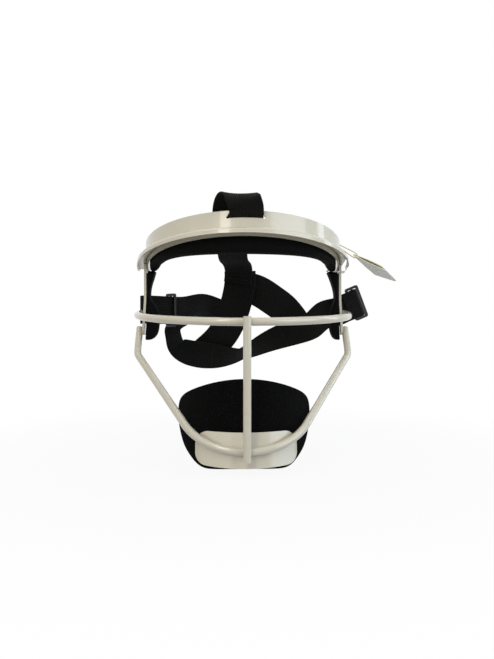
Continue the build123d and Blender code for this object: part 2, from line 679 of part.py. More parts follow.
# Swing tag: a folded card on two strands of string
tag_fall = radians(tag_tilt)
tag_pivot = Vector(band_radius, tag_pivot_y, band_top + tag_pivot_rise)
tag_out = Vector(cos(tag_fall), 0, -sin(tag_fall))
tag_up = Vector(sin(tag_fall), 0, cos(tag_fall))
tag_fold = tag_pivot + tag_out * tag_start


def tag_leaf(lean):
    """The plane of a card leaf that opens from the fold by a lean."""
    turn = tag_fall + radians(lean)
    return Plane(origin=tag_fold, x_dir=(cos(turn), 0, -sin(turn)), z_dir=(sin(turn), 0, cos(turn)))


for leaf_name, lean, side in (("hang_tag_front", -tag_open / 2, 1), ("hang_tag_back", tag_open / 2, -1)):
    with BuildPart() as leaf:
        with BuildSketch(tag_leaf(lean).offset(side * seam_gap)):
            with Locations((tag_length / 2, 0)):
                RectangleRounded(tag_length, tag_width, tag_corner)
            with Locations((tag_edge, 0)):
                Circle(tag_hole, mode=Mode.SUBTRACT)
        extrude(amount=side * tag_card)
    leaf.part.label = leaf_name
    export_step(leaf.part, f"parts/{leaf_name}.step")


def cord_radii(places):
    """As large an arc at each corner of a cord's route as its two runs allow."""
    radii = []
    for before, corner, after in zip(places, places[1:], places[2:]):
        inwards, onwards = corner - before, after - corner
        turn = radians(inwards.get_angle(onwards))
        radii.append(arc_share * min(inwards.length, onwards.length) / tan(turn / 2))
    return radii


# Strands: down through the hole in the card and back
with BuildPart() as tag_strands:
    hole = tag_fold + tag_out * tag_edge
    lift = tag_up * (tag_card + 2 * string_diameter)
    strand_places = [tag_pivot + tag_up * string_diameter, (tag_pivot + hole) / 2 + tag_up * string_diameter * 2,
                     hole + lift - tag_out * string_diameter, hole + tag_out * string_diameter / 3,
                     hole - lift - tag_out * string_diameter, (tag_pivot + hole) / 2 - tag_up * string_diameter * 2,
                     tag_pivot - tag_up * string_diameter]
    with BuildLine() as strand_path:
        FilletPolyline(*strand_places, radius=cord_radii(strand_places))
    with BuildSketch(Plane(origin=strand_path.line @ 0, z_dir=strand_path.line % 0)):
        RegularPolygon(string_diameter / 2, string_sides)
    sweep()
tag_strands.part.label = "tag_strands"
export_step(tag_strands.part, "parts/tag_strands.step")

# Loop: the string's way over the side pad, round the strip and up behind the band
loop_places = [Vector(*place) for place in (
    (76, 13, 34.1), (73.5, 6, 34.0), (74.5, -1.2, 33.8), (80, -3.0, 32.4), (88.4, -2.8, 33.1), (89.9, 4, 33.4),
    (89.6, 14, 32.6), (89.1, 21.8, 36.5), (88.2, 22.8, 45), (87.4, 20.8, 53), (86.8, 15, 57.4),
    (86.2, 8.3, 57.8))]
with BuildPart() as tag_loop:
    with BuildLine() as loop_path:
        FilletPolyline(*loop_places, radius=cord_radii(loop_places))
    with BuildSketch(Plane(origin=loop_path.line @ 0, z_dir=loop_path.line % 0)):
        RegularPolygon(string_diameter / 2, string_sides)
    sweep()
tag_loop.part.label = "tag_loop"
export_step(tag_loop.part, "parts/tag_loop.step")
for cord_name, cord, path, places in (("strands", tag_strands, strand_path, strand_places),
                                      ("loop", tag_loop, loop_path, loop_places)):
    section = pi * string_diameter ** 2 / 4
    print("tag", cord_name, "section times length", round(section * path.wires()[0].length, 1), "volume",
          round(cord.part.volume, 1), "radii", [round(radius, 1) for radius in cord_radii(places)])
print("left slider run", tuple(round(part, 6) for part in slider_run), "middle", tuple(slider_middle))
print("right slider way", tuple(round(part, 6) for part in buckle_way), "middle", tuple(buckle_middle))
print("tag pivot", tuple(tag_pivot), "strip face", strip_x(side_pad_top / 2))
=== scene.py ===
# %% [markdown]
# ## A fielder's face guard
#
# The real thing is a steel frame dipped in ivory enamel, with black foam pads stuck inside it and a harness
# of black elastic webbing. Its hard pieces arrive as a fixed frame of exact meshes, which only need a finish.
# The soft pieces could be sculpted by hand. Here they are surfaces worked out with numpy instead, because
# those follow the frame's own sizes and come out the same each time.

# %% Load the frame
import json
from math import cos, pi, radians, sin, tan

import bpy
import numpy as np
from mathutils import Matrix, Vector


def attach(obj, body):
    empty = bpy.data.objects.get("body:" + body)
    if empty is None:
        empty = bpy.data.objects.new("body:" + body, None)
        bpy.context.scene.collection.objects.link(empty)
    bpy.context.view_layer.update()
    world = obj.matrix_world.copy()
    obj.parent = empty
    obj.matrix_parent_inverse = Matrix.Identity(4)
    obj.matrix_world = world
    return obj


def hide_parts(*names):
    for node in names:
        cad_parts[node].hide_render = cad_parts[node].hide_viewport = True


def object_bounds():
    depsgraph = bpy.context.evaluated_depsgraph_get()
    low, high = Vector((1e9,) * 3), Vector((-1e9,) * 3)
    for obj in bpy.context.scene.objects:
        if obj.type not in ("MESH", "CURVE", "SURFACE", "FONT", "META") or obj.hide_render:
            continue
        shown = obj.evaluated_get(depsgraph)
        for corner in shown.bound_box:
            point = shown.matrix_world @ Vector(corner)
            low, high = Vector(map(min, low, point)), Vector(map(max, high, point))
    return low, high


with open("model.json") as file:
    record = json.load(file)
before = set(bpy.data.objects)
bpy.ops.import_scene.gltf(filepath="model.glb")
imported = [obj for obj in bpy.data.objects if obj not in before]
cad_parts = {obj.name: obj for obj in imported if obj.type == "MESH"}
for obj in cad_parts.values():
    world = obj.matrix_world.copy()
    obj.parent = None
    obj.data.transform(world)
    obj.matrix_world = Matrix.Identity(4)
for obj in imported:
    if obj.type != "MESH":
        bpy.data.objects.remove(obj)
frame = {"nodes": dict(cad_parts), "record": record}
cad_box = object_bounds()
print("nodes", len(frame["nodes"]), "box", cad_box)

# %% [markdown]
# ## Camera
#
# The photograph was taken from straight in front, about half a metre away, a little below the brow. A longer
# lens from further off could frame the object alike, but a near camera makes the brow band look wider than
# the wires behind it. So the distance was settled first, and then the lens.

# %% Set the camera
millimetre = 0.001
camera_place = np.array([-15.0, -523.0, -17.8]) * millimetre
camera_turn = radians(-2)


def add_object(name, data):
    """An object that shows some data, linked into the scene."""
    made = bpy.data.objects.new(name, data)
    bpy.context.scene.collection.objects.link(made)
    return made


camera_data = bpy.data.cameras.new("camera")
camera_data.sensor_fit = "HORIZONTAL"
camera_data.sensor_width = 36.0
camera_data.lens = 43.72
camera = add_object("camera", camera_data)
camera.location = camera_place
camera.rotation_euler = (radians(90), 0, camera_turn)
bpy.context.scene.camera = camera
bpy.context.scene.view_settings.view_transform = "Standard"
print("camera", camera.location[:], "lens", camera_data.lens)

# %% [markdown]
# ## Sockets that do arithmetic
#
# A procedural finish is mostly sums on masks. Its nodes could be added and linked one by one, but that buries
# the recipe. Wrapping a socket in a class with operators lets a finish read as an expression, and each
# operator adds the Math node that does it.


# %% Sockets and nodes
class Socket:
    """One output of a node. Sums of sockets and numbers add Math nodes."""

    def __init__(self, nodes, link):
        self.nodes = nodes
        self.link = link

    def math(self, operation, other):
        """A Math node on this socket and another value."""
        return self.nodes.math(operation, self, other)

    def __add__(self, other):
        return self.math("ADD", other)

    def __mul__(self, other):
        return self.math("MULTIPLY", other)

    def __sub__(self, other):
        return self.math("SUBTRACT", other)

    def __rsub__(self, other):
        return self.nodes.math("SUBTRACT", other, self)

    def __gt__(self, other):
        return self.math("GREATER_THAN", other)

    __radd__ = __add__
    __rmul__ = __mul__


node_width = 220
node_height = 260
nodes_in_row = 12


class Nodes:
    """A tree under construction: the calls that add nodes to it and link them."""

    def __init__(self, tree):
        self.tree = tree
        self.made = 0

    def put(self, socket, value):
        """A link or a plain value on an input socket."""
        if isinstance(value, Socket):
            self.tree.links.new(value.link, socket)
        else:
            socket.default_value = value

    def node(self, kind, settings=None, out=0, **inputs):
        """A node of a kind: its settings first, then its inputs, by name or as _ and a number."""
        made = self.tree.nodes.new(kind)
        row, column = divmod(self.made, nodes_in_row)
        made.location = (-node_width * (column + 1), node_height * row)
        self.made += 1
        for setting, value in (settings or {}).items():
            setattr(made, setting, value)
        for name, value in inputs.items():
            key = int(name[1:]) if name[1:].isdigit() else name.replace("_", " ")
            self.put(made.inputs[key], value)
        return Socket(self, made.outputs[out])

    def math(self, operation, *values):
        """A Math node on sockets and numbers."""
        inputs = {f"_{place}": value for place, value in enumerate(values)}
        return self.node("ShaderNodeMath", {"operation": operation}, **inputs)


# %% Finishes
class Finish(Nodes):
    """A material under construction, with its shader."""

    def __init__(self, name):
        self.material = bpy.data.materials.new(name)
        self.material.use_nodes = True
        super().__init__(self.material.node_tree)
        self.shader = self.tree.nodes["Principled BSDF"]

    def mix(self, factor, first, second):
        """A blend of two colours."""
        return self.node("ShaderNodeMix", {"data_type": "RGBA"}, out=2, _0=factor, _6=first, _7=second)

    def place(self):
        """A point's place on the object, in metres."""
        return self.node("ShaderNodeTexCoord", out="Object")

    def cloth_place(self):
        """The two halves of the piece's own UV map, in metres: across the cloth, and along it."""
        here = self.node("ShaderNodeUVMap", {"uv_map": "UVMap"})
        return [self.node("ShaderNodeSeparateXYZ", out=half, Vector=here) for half in ("X", "Y")]

    def noise(self, scale, detail=3.0, roughness=0.5):
        """Noise from 0 to 1, with about so many lumps to the metre."""
        return self.node("ShaderNodeTexNoise", Vector=self.place(), Scale=scale, Detail=detail,
                         Roughness=roughness)

    def bump(self, height, depth, strength):
        """A bump, from a height that runs from 0 to 1 and its depth in metres."""
        return self.node("ShaderNodeBump", Height=height, Distance=depth, Strength=strength)

    def set(self, **values):
        """Values or links on the shader, by socket name, and the finished material."""
        for name, value in values.items():
            self.put(self.shader.inputs[name.replace("_", " ")], value)
        print(self.material.name, "nodes", len(self.tree.nodes))
        return self.material


def gray(level):
    """A neutral colour of one level."""
    return (level, level, level, 1)


# %% [markdown]
# ## Enamel
#
# The frame is dipped and baked: a thick, glossy ivory coat, very slightly wavy, with a few specks. A smooth
# ivory under a clear coat would do from far off. Near by, a real coat's wave breaks up its reflections, so
# the wave is a bump and not a colour, and the tint only drifts a little.

# %% Make the enamel
deep_ivory = (0.57, 0.53, 0.42, 1)
pale_ivory = (0.63, 0.59, 0.475, 1)
speck_tan = (0.45, 0.41, 0.32, 1)
enamel = Finish("ivory_enamel")
enamel_wave = enamel.noise(45.0, 2.0)
enamel_specks = enamel.noise(900.0, 1.0) > 0.74
enamel_drift = enamel.noise(14.0, 2.0)
drifting_ivory = enamel.mix(enamel_drift, deep_ivory, pale_ivory)
ivory_enamel = enamel.set(
    Base_Color=enamel.mix(enamel_specks * 0.35, drifting_ivory, speck_tan),
    Roughness=0.24 + enamel_drift * 0.06,
    Coat_Weight=0.7,
    Coat_Roughness=0.05,
    Normal=enamel.bump(enamel_wave, 0.4 * millimetre, 0.35),
)

# %% [markdown]
# ## Black finishes
#
# Several blacks lie side by side here, and only their surfaces tell them apart: the foam's fine cells, the
# chin cloth's pale fuzz, the hook tape's teeth and the plastic's faint shine. Lighter greys would part them
# sooner, but would look faded. So the colours stay close to black, and the bumps and the roughness do the
# work.

# %% Make the foam
foam = Finish("black_foam")
foam_cells = foam.noise(2600.0, 3.0, 0.65)
foam_dents = foam.noise(120.0, 2.0)
black_foam = foam.set(
    Base_Color=foam.mix(foam_dents * 0.7 + foam_cells * 0.3, gray(0.0014), gray(0.005)),
    Roughness=0.66 + foam_cells * 0.2,
    Specular_IOR_Level=0.05,
    Normal=foam.bump(foam_cells * 0.7 + foam_dents, 0.3 * millimetre, 0.5),
)

# %% Make the chin pad's brushed cloth
brushed = Finish("loop_fabric")
brushed_fur = brushed.noise(900.0, 5.0, 0.8)
brushed_nap = brushed.noise(130.0, 3.0)
brushed_fuzz = ((brushed_fur - 0.55) * 7.0).math("MAXIMUM", 0.0).math("MINIMUM", 1.0)
loop_fabric = brushed.set(
    Base_Color=brushed.mix(brushed_fuzz * (brushed_nap * 0.8 + 0.3), gray(0.0016), gray(0.026)),
    Roughness=0.9,
    Specular_IOR_Level=0.04,
    Sheen_Weight=0.02,
    Sheen_Roughness=0.5,
    Normal=brushed.bump(brushed_fur, 0.8 * millimetre, 1.0),
)

# %% Make the hook tape
hook = Finish("hook_tape")
hook_teeth = hook.node("ShaderNodeTexVoronoi", {"feature": "F1"}, Vector=hook.place(), Scale=900.0)
hook_tape = hook.set(
    Base_Color=hook.mix(hook_teeth, gray(0.014), gray(0.003)),
    Roughness=0.6,
    Specular_IOR_Level=0.2,
    Normal=hook.bump(1 - hook_teeth, 0.6 * millimetre, 0.8),
)

# %% [markdown]
# ## Finishes with one grain
#
# Moulded plastic, thread, card and string each show one fine grain that both tints and raises them. Each
# could have its own recipe. They differ only in numbers, so one function makes them all, and the numbers
# can be compared at a glance.


# %% Make the plastic, thread, card and string
def grained(name, scale, detail, dark, pale, roughness, depth, strength, specular=0.5, roughening=0.0):
    """A finish whose one noise blends two colours, raises the surface and may roughen it."""
    finish = Finish(name)
    grain = finish.noise(scale, detail)
    return finish.set(
        Base_Color=finish.mix(grain, dark, pale),
        Roughness=roughness + grain * roughening if roughening else roughness,
        Specular_IOR_Level=specular,
        Normal=finish.bump(grain, depth * millimetre, strength),
    )


black_plastic = grained("black_plastic", 1500.0, 3.0, gray(0.003), gray(0.007), roughness=0.36, depth=0.1,
                        strength=0.4, specular=0.3, roughening=0.12)
black_thread = grained("black_thread", 3000.0, 2.0, gray(0.005), gray(0.022), roughness=0.55, depth=0.1,
                       strength=0.5, specular=0.2, roughening=0.2)
tag_card = grained("tag_card", 700.0, 4.0, (0.88, 0.87, 0.82, 1), (0.95, 0.94, 0.90, 1), roughness=0.55,
                   depth=0.1, strength=0.3)
yellow_card = grained("yellow_card", 700.0, 4.0, (0.56, 0.49, 0.20, 1), (0.66, 0.59, 0.28, 1),
                      roughness=0.6, depth=0.1, strength=0.3)
white_string = grained("white_string", 2500.0, 3.0, (0.62, 0.60, 0.52, 1), (0.86, 0.85, 0.79, 1),
                       roughness=0.8, depth=0.2, strength=0.6)
yellow_string = grained("yellow_string", 2500.0, 3.0, (0.52, 0.46, 0.22, 1), (0.80, 0.74, 0.50, 1),
                        roughness=0.8, depth=0.2, strength=0.6)

# %% [markdown]
# ## Webbing finish
#
# The harness is inch-wide elastic webbing: a flat weave whose rubber cords stand up as fine ribs along it.
# Ribs across Object coordinates would slide over a strap that turns. The weave reads the strap's own UV map
# instead, in metres, so it follows each fold and keeps its size.

# %% Make the webbing weave
cord_pitch = 1.7 * millimetre
pick_pitch = 0.9 * millimetre
deep_black = (0.0012, 0.0012, 0.0011, 1)
dusty_black = (0.0105, 0.0104, 0.0092, 1)
weave = Finish("black_webbing")
weave_across, weave_along = weave.cloth_place()
cords = weave.math("SINE", weave_across * (2 * pi / cord_pitch))
picks = weave.math("SINE", weave_along * (2 * pi / pick_pitch))
crossing = cords * 0.5 + (cords * picks) * 0.35 + 0.5
fuzz = weave.noise(1600.0, 3.0, 0.7)
patches = weave.noise(60.0, 2.0)
black_webbing = weave.set(
    Base_Color=weave.mix(crossing * 0.55 + fuzz * 0.25 + patches * 0.2, deep_black, dusty_black),
    Roughness=0.76 + fuzz * 0.18,
    Specular_IOR_Level=0.1,
    Sheen_Weight=0.03,
    Sheen_Roughness=0.5,
    Normal=weave.bump(crossing + fuzz * 0.5, 0.5 * millimetre, 0.9),
)

# %% Put the finishes on the frame's own pieces
finishes = {
    "ivory_enamel": ivory_enamel, "black_foam": black_foam, "loop_fabric": loop_fabric,
    "hook_tape": hook_tape, "black_plastic": black_plastic, "black_webbing": black_webbing,
    "tag_card": tag_card, "white_string": white_string,
}
for entry in frame["record"]["subparts"]:
    finish = finishes[entry["material_slot"]]
    materials = frame["nodes"][entry["node"]].data.materials
    if not materials:
        materials.append(finish)
    for place in range(len(materials)):
        materials[place] = finish
print("finishes", len(finishes))

# %% [markdown]
# ## Surfaces from arrays
#
# Each soft piece is a grid of points: a profile carried along a path, or round a ring. A bevelled curve could
# make a strap too, but it would twist where it likes. The helpers below turn a grid into a mesh in one step,
# and give it a UV map in metres, so that a weave keeps its real size wherever the cloth bends.


# %% Mesh helpers
def smooth_piece(name, points, faces, finish):
    """An object with a smooth-shaded mesh, from an array of points and a list of faces."""
    mesh = bpy.data.meshes.new(name)
    mesh.from_pydata(points.reshape(-1, 3), [], faces)
    mesh.polygons.foreach_set("use_smooth", np.ones(len(faces), dtype=bool))
    mesh.materials.append(finish)
    return add_object(name, mesh)


def grid_piece(name, points, finish, uv=None, ring=False):
    """A piece from rows of points. Rows run along it, and columns round its profile, which is closed.

    The first and last rows are capped, or joined where the piece is a ring. The faces' sides are told by the
    volume they enclose, a sixth of the sum of a . (b x c), which is made positive.
    """
    rows, columns = points.shape[:2]
    spots = np.arange(rows * columns).reshape(rows, columns)
    beside = np.roll(spots, -1, axis=1)
    quads = np.stack([spots, beside, np.roll(beside, -1, axis=0), np.roll(spots, -1, axis=0)], axis=-1)
    quads = quads[:rows if ring else rows - 1].reshape(-1, 4)
    faces = quads.tolist()
    if not ring:
        faces += [spots[0][::-1].tolist(), spots[-1].tolist()]
    corners = points.reshape(-1, 3)[quads] - points.mean(axis=(0, 1))
    volume = np.sum(corners[:, 0] * np.cross(corners[:, 1], corners[:, 2]))
    volume += np.sum(corners[:, 0] * np.cross(corners[:, 2], corners[:, 3]))
    if volume < 0:
        faces = [face[::-1] for face in faces]
    piece = smooth_piece(name, points, faces, finish)
    if uv is not None:
        corner_spots = np.zeros(len(piece.data.loops), dtype=np.int32)
        piece.data.loops.foreach_get("vertex_index", corner_spots)
        layer = piece.data.uv_layers.new(name="UVMap")
        layer.data.foreach_set("uv", uv.reshape(-1, 2)[corner_spots].ravel())
    return piece


def stand_for(piece, node, body):
    """A piece shown in place of the frame's own node, on its body."""
    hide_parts(node)
    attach(piece, body)


# %% [markdown]
# ## Paths
#
# A strap hangs in long curves between a few places, and lies in straight runs where it goes round a bar.
# One kind of curve could serve for both, but a spline bulges at a tight turn. So there are two kinds of path:
# a spline through its places, and straight runs joined by arcs.


# %% Path helpers
def unit(vectors):
    """Vectors of length one."""
    return vectors / np.linalg.norm(vectors, axis=-1, keepdims=True)


def travelled(points):
    """The distance along a path at each of its points."""
    return np.concatenate([[0], np.cumsum(np.linalg.norm(np.diff(points, axis=0), axis=1))])


def between(marks, knots, values):
    """Rows of values that belong to knots, blended evenly for the marks between these."""
    return np.stack([np.interp(marks, knots, column) for column in values.T], axis=-1)


def smooth_path(places, count, ends=None):
    """A cubic spline through places: its points, how far along each is, and where each place falls.

    Between two places a gap apart, with bends b and c there, the point a step past the first is
    place + (slope - gap (2 b + c) / 6) step + b step ** 2 / 2 + (c - b) step ** 3 / (6 gap). The bends solve
    one linear system, in which the curve's direction agrees on both sides of each place. Its ends are free,
    or follow two given directions.
    """
    places = np.array(places, dtype=float)
    knots = travelled(places)
    gaps = np.diff(knots)
    slopes = np.diff(places, axis=0) / gaps[:, None]
    size = len(places)
    system = np.zeros((size, size))
    right = np.zeros((size, 3))
    inner = np.arange(1, size - 1)
    system[inner, inner - 1] = gaps[:-1]
    system[inner, inner] = 2 * (gaps[:-1] + gaps[1:])
    system[inner, inner + 1] = gaps[1:]
    right[inner] = 6 * np.diff(slopes, axis=0)
    system[0, 0] = system[-1, -1] = 1
    if ends is not None:
        system[0, :2] = 2 * gaps[0], gaps[0]
        system[-1, -2:] = gaps[-1], 2 * gaps[-1]
        right[0] = 6 * (slopes[0] - unit(np.array(ends[0], dtype=float)))
        right[-1] = 6 * (unit(np.array(ends[1], dtype=float)) - slopes[-1])
    bends = np.linalg.solve(system, right)
    marks = np.linspace(0, knots[-1], count)
    spans = np.clip(np.searchsorted(knots, marks, side="right") - 1, 0, size - 2)
    step = (marks - knots[spans])[:, None]
    gap = gaps[spans][:, None]
    low, high = bends[spans], bends[spans + 1]
    points = (places[spans] + (slopes[spans] - gap * (2 * low + high) / 6) * step
              + low / 2 * step ** 2 + (high - low) / (6 * gap) * step ** 3)
    return points, marks, knots


def rounded_run(corners, radius, step):
    """Points along straight runs joined by arcs of one radius, about a step apart.

    An arc through a turn t is centre + (first sin((1 - s) t) + last sin(s t)) / sin t, with s from 0 to 1.
    """
    corners = np.array(corners, dtype=float)
    pieces = [corners[:1]]
    for before, corner, after in zip(corners, corners[1:], corners[2:]):
        inwards, onwards = unit(before - corner), unit(after - corner)
        half = np.arccos(np.clip(inwards @ onwards, -1, 1)) / 2
        centre = corner + unit(inwards + onwards) * radius / sin(half)
        first = corner + inwards * radius / tan(half) - centre
        last = corner + onwards * radius / tan(half) - centre
        turn = pi - 2 * half
        share = np.linspace(0, 1, max(3, int(turn * radius / step) + 2))[:, None]
        arc = (first * np.sin((1 - share) * turn) + last * np.sin(share * turn)) / sin(turn)
        pieces.append(centre + arc)
    pieces.append(corners[-1:])
    joined = np.concatenate(pieces)
    filled = [joined[:1]]
    for start, end in zip(joined, joined[1:]):
        count = max(1, int(np.linalg.norm(end - start) / step))
        filled.append(start + (end - start) * (np.arange(1, count + 1) / count)[:, None])
    return np.concatenate(filled)


# %% [markdown]
# ## Webbing
#
# Each strap is one flat profile with rounded selvedges, carried along the strap's path. Its twist could be
# left to the path, but real webbing lies flat against what it passes. So its width is turned by given
# directions, and the strap folds where the real one does.

# %% Strap helpers
webbing_width = 25.4 * millimetre
webbing_thickness = 1.6 * millimetre
selvedge_rise = 0.1
selvedge_power = 8
profile_flat_count = 15
profile_round_count = 5


def strap_profile(width):
    """Points round a strap's section, across and up: flat faces and half-round edges.

    A face rises towards its edges, by thickness / 2 * selvedge_rise * (across / half the width) ** 8.
    """
    half_width, half_thick = width / 2, webbing_thickness / 2
    flat = np.linspace(-1, 1, profile_flat_count) * (half_width - half_thick)
    swell = half_thick * (1 + selvedge_rise * (flat / half_width) ** selvedge_power)
    bend = np.linspace(pi / 2, -pi / 2, profile_round_count + 2)[1:-1]
    across = np.concatenate([flat, half_width - half_thick + half_thick * np.cos(bend), flat[::-1],
                             -(half_width - half_thick) - half_thick * np.cos(bend)])
    up = np.concatenate([swell, half_thick * np.sin(bend), -swell, -half_thick * np.sin(bend)])
    return across, up


def strap(name, points, ways, node, width=webbing_width):
    """A strap along sampled points, its width turned to the way at each.

    A point of it is path + side * across + up * rise, where up is forward x side. The path, the sides and
    the ups come back, because the seams follow them.
    """
    forward = unit(np.gradient(points, axis=0))
    side = unit(ways - forward * np.sum(ways * forward, axis=1, keepdims=True))
    up = np.cross(forward, side)
    across, rise = strap_profile(width)
    grid = points[:, None] + side[:, None] * across[:, None] + up[:, None] * rise[:, None]
    lengths = travelled(points)
    uv = np.stack(np.broadcast_arrays(across[None, :], lengths[:, None]), axis=-1)
    stand_for(grid_piece(name, grid, black_webbing, uv), node, "guard")
    print(name, "length", round(lengths[-1], 4), "width", width)
    return points, side, up


def spline_strap(name, places, ways, node, count, width=webbing_width, ends=None):
    """A strap on a spline through places, with the way of its width given at each place."""
    points, marks, knots = smooth_path(places, count, ends)
    return strap(name, points, between(marks, knots, np.array(ways, dtype=float)), node, width)


# %% Sizes that the harness follows
strip_splay = radians(3.5)
strip_sheet = 2.0 * millimetre
strip_front = 1.0 * millimetre
strip_width = 23.0 * millimetre
strip_bend = 8.0 * millimetre
strip_face = 86.3 * millimetre
strip_out = strip_face + strip_bend * tan(strip_splay)
harness_reach = 75.0 * millimetre
harness_drop = 46.0 * millimetre
harness_size = np.array([strip_out, harness_reach, harness_drop])
arm_width = 30.0 * millimetre
band_tilt = radians(12.2)
band_radius = 85.5 * millimetre
band_sheet = 1.2 * millimetre
band_middle = np.array([0, 12.0, 53.9]) * millimetre
band_up = np.array([0, sin(band_tilt), cos(band_tilt)])
slot_fall = 4.2 * millimetre
slot_out = np.array([0, -cos(band_tilt), sin(band_tilt)])
slot_middle = band_middle + slot_out * (band_radius - band_sheet / 2) - band_up * slot_fall
print("harness", harness_size, "slot", slot_middle)


def harness(shares):
    """Places in the harness from their shares of its half span, reach and drop."""
    return np.array(shares) * harness_size


# %% Make the top strap
top_shares = [(-0.048, 0.700, 0.580), (-0.035, 0.660, 0.760), (-0.045, 0.540, 0.900),
              (-0.092, 0.267, 0.972), (-0.108, 0.053, 1.059), (-0.092, -0.400, 1.276)]
top_slot_shares = [-8, -4, 0, 1.2]
fold_shares = [(-0.020, -1.040, 1.690), (-0.036, -1.020, 1.765), (-0.058, -0.960, 1.820),
               (-0.102, -0.867, 1.812), (-0.140, -0.747, 1.690), (-0.146, -0.640, 1.575),
               (-0.135, -0.480, 1.440)]
top_strap_width = 26.2 * millimetre
slot_shift = np.array([0.3, 0, 0]) * millimetre
slot_places = [slot_middle + slot_shift + slot_out * share * webbing_thickness for share in top_slot_shares]
slot_places.append(slot_places[-1] + (slot_out + band_up * 2) * webbing_thickness)
top_places = np.concatenate([harness(top_shares), slot_places, harness(fold_shares)])
top_strap = spline_strap("top_strap_cloth", top_places, [(1, 0, 0)] * len(top_places), "top_strap",
                         count=220, width=top_strap_width)

# %% Make the two arms
left_arm_shares = [(-0.018, 0.715, 0.830), (-0.018, 0.735, 0.600), (-0.042, 0.755, 0.320),
                   (-0.104, 0.790, -0.090), (-0.212, 0.880, -0.490), (-0.325, 1.010, -0.725),
                   (-0.430, 1.010, -0.900)]
left_arm_ways = [(1, 0, 0), (1, 0, 0), (1, 0, -0.1), (0.95, 0, -0.25), (0.85, 0, -0.4), (0.65, 0, -0.7),
                 (0.55, 0, -0.8)]
left_arm = spline_strap("left_arm_cloth", harness(left_arm_shares), left_arm_ways, "left_arm_strap",
                        count=110, width=arm_width)

right_arm_shares = [(-0.035, 0.802, 0.510), (0.143, 0.797, 0.461), (0.342, 0.803, 0.248),
                    (0.480, 0.850, 0.059), (0.610, 0.890, -0.240)]
right_arm_ways = [(0, 0, 1), (0.1, 0, 1), (0.24, 0, 0.96), (0.45, 0, 0.89), (0.75, 0, 0.6)]
right_arm = spline_strap("right_arm_cloth", harness(right_arm_shares), right_arm_ways, "right_arm_strap",
                         count=90, width=arm_width)

# %% Sizes round the left slider
slot_place_y = 17.5 * millimetre
mouth_reach = 3.5 * millimetre
slider_turn = radians(42.4)
slider_run = np.array([cos(slider_turn), sin(slider_turn), 0])
slider_back = np.array([-sin(slider_turn), cos(slider_turn), 0])
slider_reach = 24.5 * millimetre
slider_layer = 2.8 * millimetre
slider_straight = 7.0 * millimetre
left_slot = np.array([-strip_out + strip_sheet / 2, slot_place_y, 0])
slot_mouth = left_slot + np.array([mouth_reach, 0, 0])
slider_middle = slot_mouth + slider_run * slider_reach + slider_back * slider_layer
rear_layer = slider_middle + slider_back * slider_layer
front_layer = slider_middle - slider_back * slider_layer
print("left slider", slider_middle)

# %% Make the adjuster strap
outer_layer_gap = 5.6 * millimetre
adjuster_bend = 2.2 * millimetre
adjuster_step = 1.5 * millimetre
rear_bar_y = strip_front + strip_width + webbing_thickness
outer_x = left_slot[0] - outer_layer_gap
rear_corner = rear_layer + slider_run * (rear_bar_y - rear_layer[1]) / sin(slider_turn)
adjuster_corners = [rear_layer + slider_run * (slider_straight + webbing_width), rear_corner,
                    (outer_x, rear_bar_y, 0), (outer_x, slot_place_y, 0), slot_mouth,
                    front_layer + slider_run * slider_straight]
adjuster_points = rounded_run(adjuster_corners, adjuster_bend, adjuster_step)
tail_shares = [(0, 0, 0), (0.272, 0.272, 0.036), (0.715, 0.744, 0.170), (1.150, 1.240, 0.110),
               (1.500, 1.700, 0.000)]
tail_ways = [(0, 0, 1), (0, 0, 1), (0.15, -0.2, 0.95), (0.3, -0.4, 0.85), (0.35, -0.45, 0.8)]
tail_places = adjuster_corners[-1] + np.array(tail_shares) * webbing_width
tail_points, tail_marks, tail_knots = smooth_path(tail_places, count=45)
adjuster_ways = np.concatenate([np.tile([0, 0, 1.0], (len(adjuster_points), 1)),
                                between(tail_marks, tail_knots, np.array(tail_ways, dtype=float))[1:]])
adjuster = strap("left_adjuster_cloth", np.concatenate([adjuster_points, tail_points[1:]]), adjuster_ways,
                 "left_adjuster_strap")

# %% Sizes round the right slider
buckle_rise = radians(22.1)
buckle_yaw = radians(13.0)
buckle_level = cos(buckle_rise)
buckle_run = np.array([buckle_level * cos(buckle_yaw), buckle_level * sin(buckle_yaw), sin(buckle_rise)])
buckle_back = np.array([-sin(buckle_yaw), cos(buckle_yaw), 0])
buckle_way = np.cross(buckle_run, buckle_back)
buckle_reach = 21.8 * millimetre
fold_layer = 1.5 * millimetre
fold_reach = 8.6 * millimetre
strap_sag = 1.5 * millimetre
right_slot = np.array([strip_out - strip_sheet / 2, slot_place_y, -strap_sag])
buckle_middle = right_slot + buckle_run * buckle_reach + buckle_back * (fold_layer + webbing_thickness)
print("right slider", buckle_middle)

